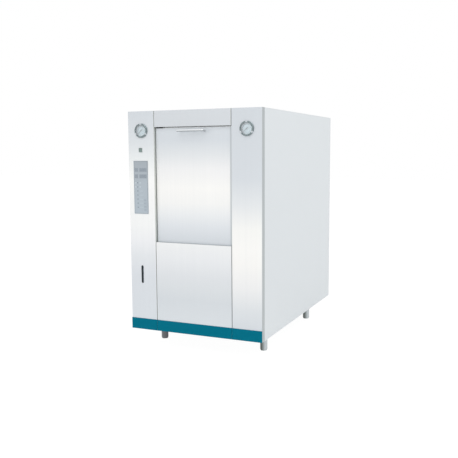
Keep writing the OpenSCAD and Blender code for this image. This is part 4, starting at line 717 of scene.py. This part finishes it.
# INSULATION
# Stiff slabs of mineral wool faced with a pale glass cloth, held round the jacket by four steel straps.
cloth = Finish("cloth", {"Roughness": 0.9, "Specular IOR Level": 0.15})
weave = cloth.mottle(500)
slabs = cloth.mottle(5, detail=3.0)
cloth.coat(screen(205, 200, 184), screen(176, 170, 152), slabs * 0.5 + weave * 0.3)
cloth.relief(weave + slabs, strength=0.35, depth=0.002)
cloth.dress("insulation")

low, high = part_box("insulation")
strap_places = [Matrix.Translation((0, y, 0)) for y in (-0.60, -0.30, 0.0, 0.30)]
strap_width, strap_thick, strap_corner, strap_clear = 0.019, 0.0006, 0.012, 0.001
bpy.ops.object.select_all(action="DESELECT")
bpy.ops.mesh.primitive_plane_add(size=1, location=((low.x + high.x) / 2, 0, (low.z + high.z) / 2))
strap = start("strap")
strap.data.transform(Matrix.Diagonal((
    high.x - low.x + 2 * strap_clear, high.z - low.z + 2 * strap_clear, 1, 1)))
strap.data.transform(Matrix.Rotation(math.radians(90), 4, "X"))
bpy.ops.object.transform_apply(location=True, rotation=True, scale=True)
bpy.ops.object.mode_set(mode="EDIT")
bpy.ops.mesh.select_all(action="SELECT")
bpy.ops.mesh.delete(type="ONLY_FACE")
bpy.ops.mesh.select_all(action="SELECT")
bpy.ops.mesh.bevel(offset=strap_corner, segments=5, affect="VERTICES")
bpy.ops.mesh.select_all(action="SELECT")
bpy.ops.mesh.extrude_edges_move(TRANSFORM_OT_translate={"value": (0, strap_width, 0)})
bpy.ops.mesh.select_all(action="SELECT")
bpy.ops.mesh.normals_make_consistent(inside=False)
bpy.ops.object.mode_set(mode="OBJECT")
wall = strap.modifiers.new("wall", "SOLIDIFY")
wall.thickness, wall.offset = strap_thick, 1
bpy.ops.object.modifier_apply(modifier="wall")
settle(copies(strap, "insulation_straps", strap_places), "cabinet", mill_steel)


# LOAD RACK
# Bent and welded stainless tube, electropolished, with wire shelves on its ledges.
wire_steel = brushed("wire_steel", screen(222, 225, 228), screen(190, 194, 198), (60, 60, 60),
                     shine=0.2, metal=0.9)
wire_steel.dress("load_rack", "shelves")


# DOOR WORKS
# The pressure plate slides in channel guides on plastic shoes; an air cylinder on each side lifts it by a bracket
# on its chromed rod. The handle is a satin bar on two posts, with painted light on its upper side and painted
# shade below.
handle_steel = Finish("handle_steel", {"Metallic": 0.6})
handle_grain = (900, 60, 60)
brush(handle_steel, handle_grain, shine=0.26)
lines = handle_steel.noise(handle_grain)
# Painted light on the bar's upper side and painted shade on its lower side.
handle_steel.feed("Base Color", handle_steel.grade([
    (0.0, (142, 148, 152)), (0.4, (182, 187, 190)), (0.6, (232, 235, 237)), (1.0, (244, 245, 246))],
    handle_steel.looking("Z") * 0.5 + 0.45 + lines * 0.1))
handle_steel.dress("door_handle")
cylinder_alu = brushed("cylinder_alu", screen(198, 202, 206), screen(176, 180, 184), (80, 80, 600),
                       shine=0.34, metal=0.8)
cylinder_alu.dress("lift_cylinders")
rod_chrome = brushed("rod_chrome", screen(216, 219, 223), screen(204, 207, 211), (200, 200, 200),
                     shine=0.1, metal=0.95)
rod_chrome.dress("cylinder_rods")
shoe_plastic = painted("shoe_plastic", screen(216, 208, 178), screen(206, 196, 164), gloss=0.5)
shoe_plastic.dress("guide_shoes")


# STEAM PLANT
# The generator and the condenser are welded stainless shells; the pumps have cast, blue-painted motors;
# the pipes are copper and the valves brass, with red lift levers.
generator_steel = brushed("generator_steel", screen(200, 204, 208), screen(168, 172, 177), (60, 700, 60),
                          shine=0.32)
generator_steel.dress("steam_generator", "condenser", "rear_connections")
pump_paint = painted("pump_paint", screen(64, 104, 142), screen(52, 88, 124), gloss=0.4, peel=180)
pump_paint.dress("vacuum_pump", "feed_pump")
fan_plastic = painted("fan_plastic", screen(44, 44, 46), screen(34, 34, 36), gloss=0.5, peel=500)
fan_plastic.dress("pump_fan")
copper = mottled("copper", {"Metallic": 0.9}, screen(196, 138, 106), screen(150, 96, 74),
                 fineness=14, detail=4.0, shine=0.26, uneven=0.24, bump=(0.05, 0.0004))
copper.dress("pipework")
brass = mottled("brass", {"Metallic": 0.9}, screen(204, 172, 108), screen(172, 140, 84),
                fineness=30, detail=3.0, shine=0.24, uneven=0.2)
brass.dress("safety_valves")
lever_paint = painted("lever_paint", screen(188, 52, 44), screen(168, 42, 36), gloss=0.35)
lever_paint.dress("chamber_valve_lever", "jacket_valve_lever")
cabinet_paint = painted("cabinet_paint", screen(208, 211, 210), screen(198, 202, 202), gloss=0.5)
cabinet_paint.dress("electrical_cabinet")


# PANEL SCREWS
# The back is held to the frame by slotted screws near its edges, and the flange of each rear stub and of
# the cable gland by four. Each slot has stopped at its own angle.
sheet_thick, flange_out = 0.002, 0.0043
back_face = front_of("rear_panel") + sheet_thick


def at_back(x, z, turn, out=0.0):
    """A place on the rear panel: the model's Z points away from the machine."""
    return (Matrix.Translation((x, back_face + out, z)) @ Matrix.Rotation(math.radians(-90), 4, "X") @
            Matrix.Rotation(math.radians(turn), 4, "Z"))


side_x, side_zs = 0.512, (0.175, 0.50, 0.84, 1.18, 1.50, 1.755)
level_xs, level_zs = (-0.26, 0.0, 0.26), (0.168, 1.765)
back_places = [at_back(s * side_x, z, 20 * k) for s in (-1, 1) for k, z in enumerate(side_zs)]
back_places += [at_back(x, z, 15 * k) for z in level_zs for k, x in enumerate(level_xs)]
settle(copies(slotted_screw("panel_screw", radius=0.0055, height=0.0026), "back_panel_screws", back_places),
       "cabinet", mill_steel)
mounts = {mount["name"]: Vector(mount["pos_m"]) for mount in frame["record"]["mounts"]}
stub_places = []
for name, radius in (("drain_outlet", 0.023), ("water_inlet", 0.0165), ("exhaust_outlet", 0.023),
                     ("cable_entry", 0.022)):
    stub_places += [at_back(mounts[name].x + across, mounts[name].z + up, 30 * k, flange_out)
                    for k, (across, up) in enumerate(round_points(4, radius, first=45))]
settle(copies(slotted_screw("stub_screw", radius=0.0036, height=0.0022), "stub_screws", stub_places),
       "cabinet", screw_steel)
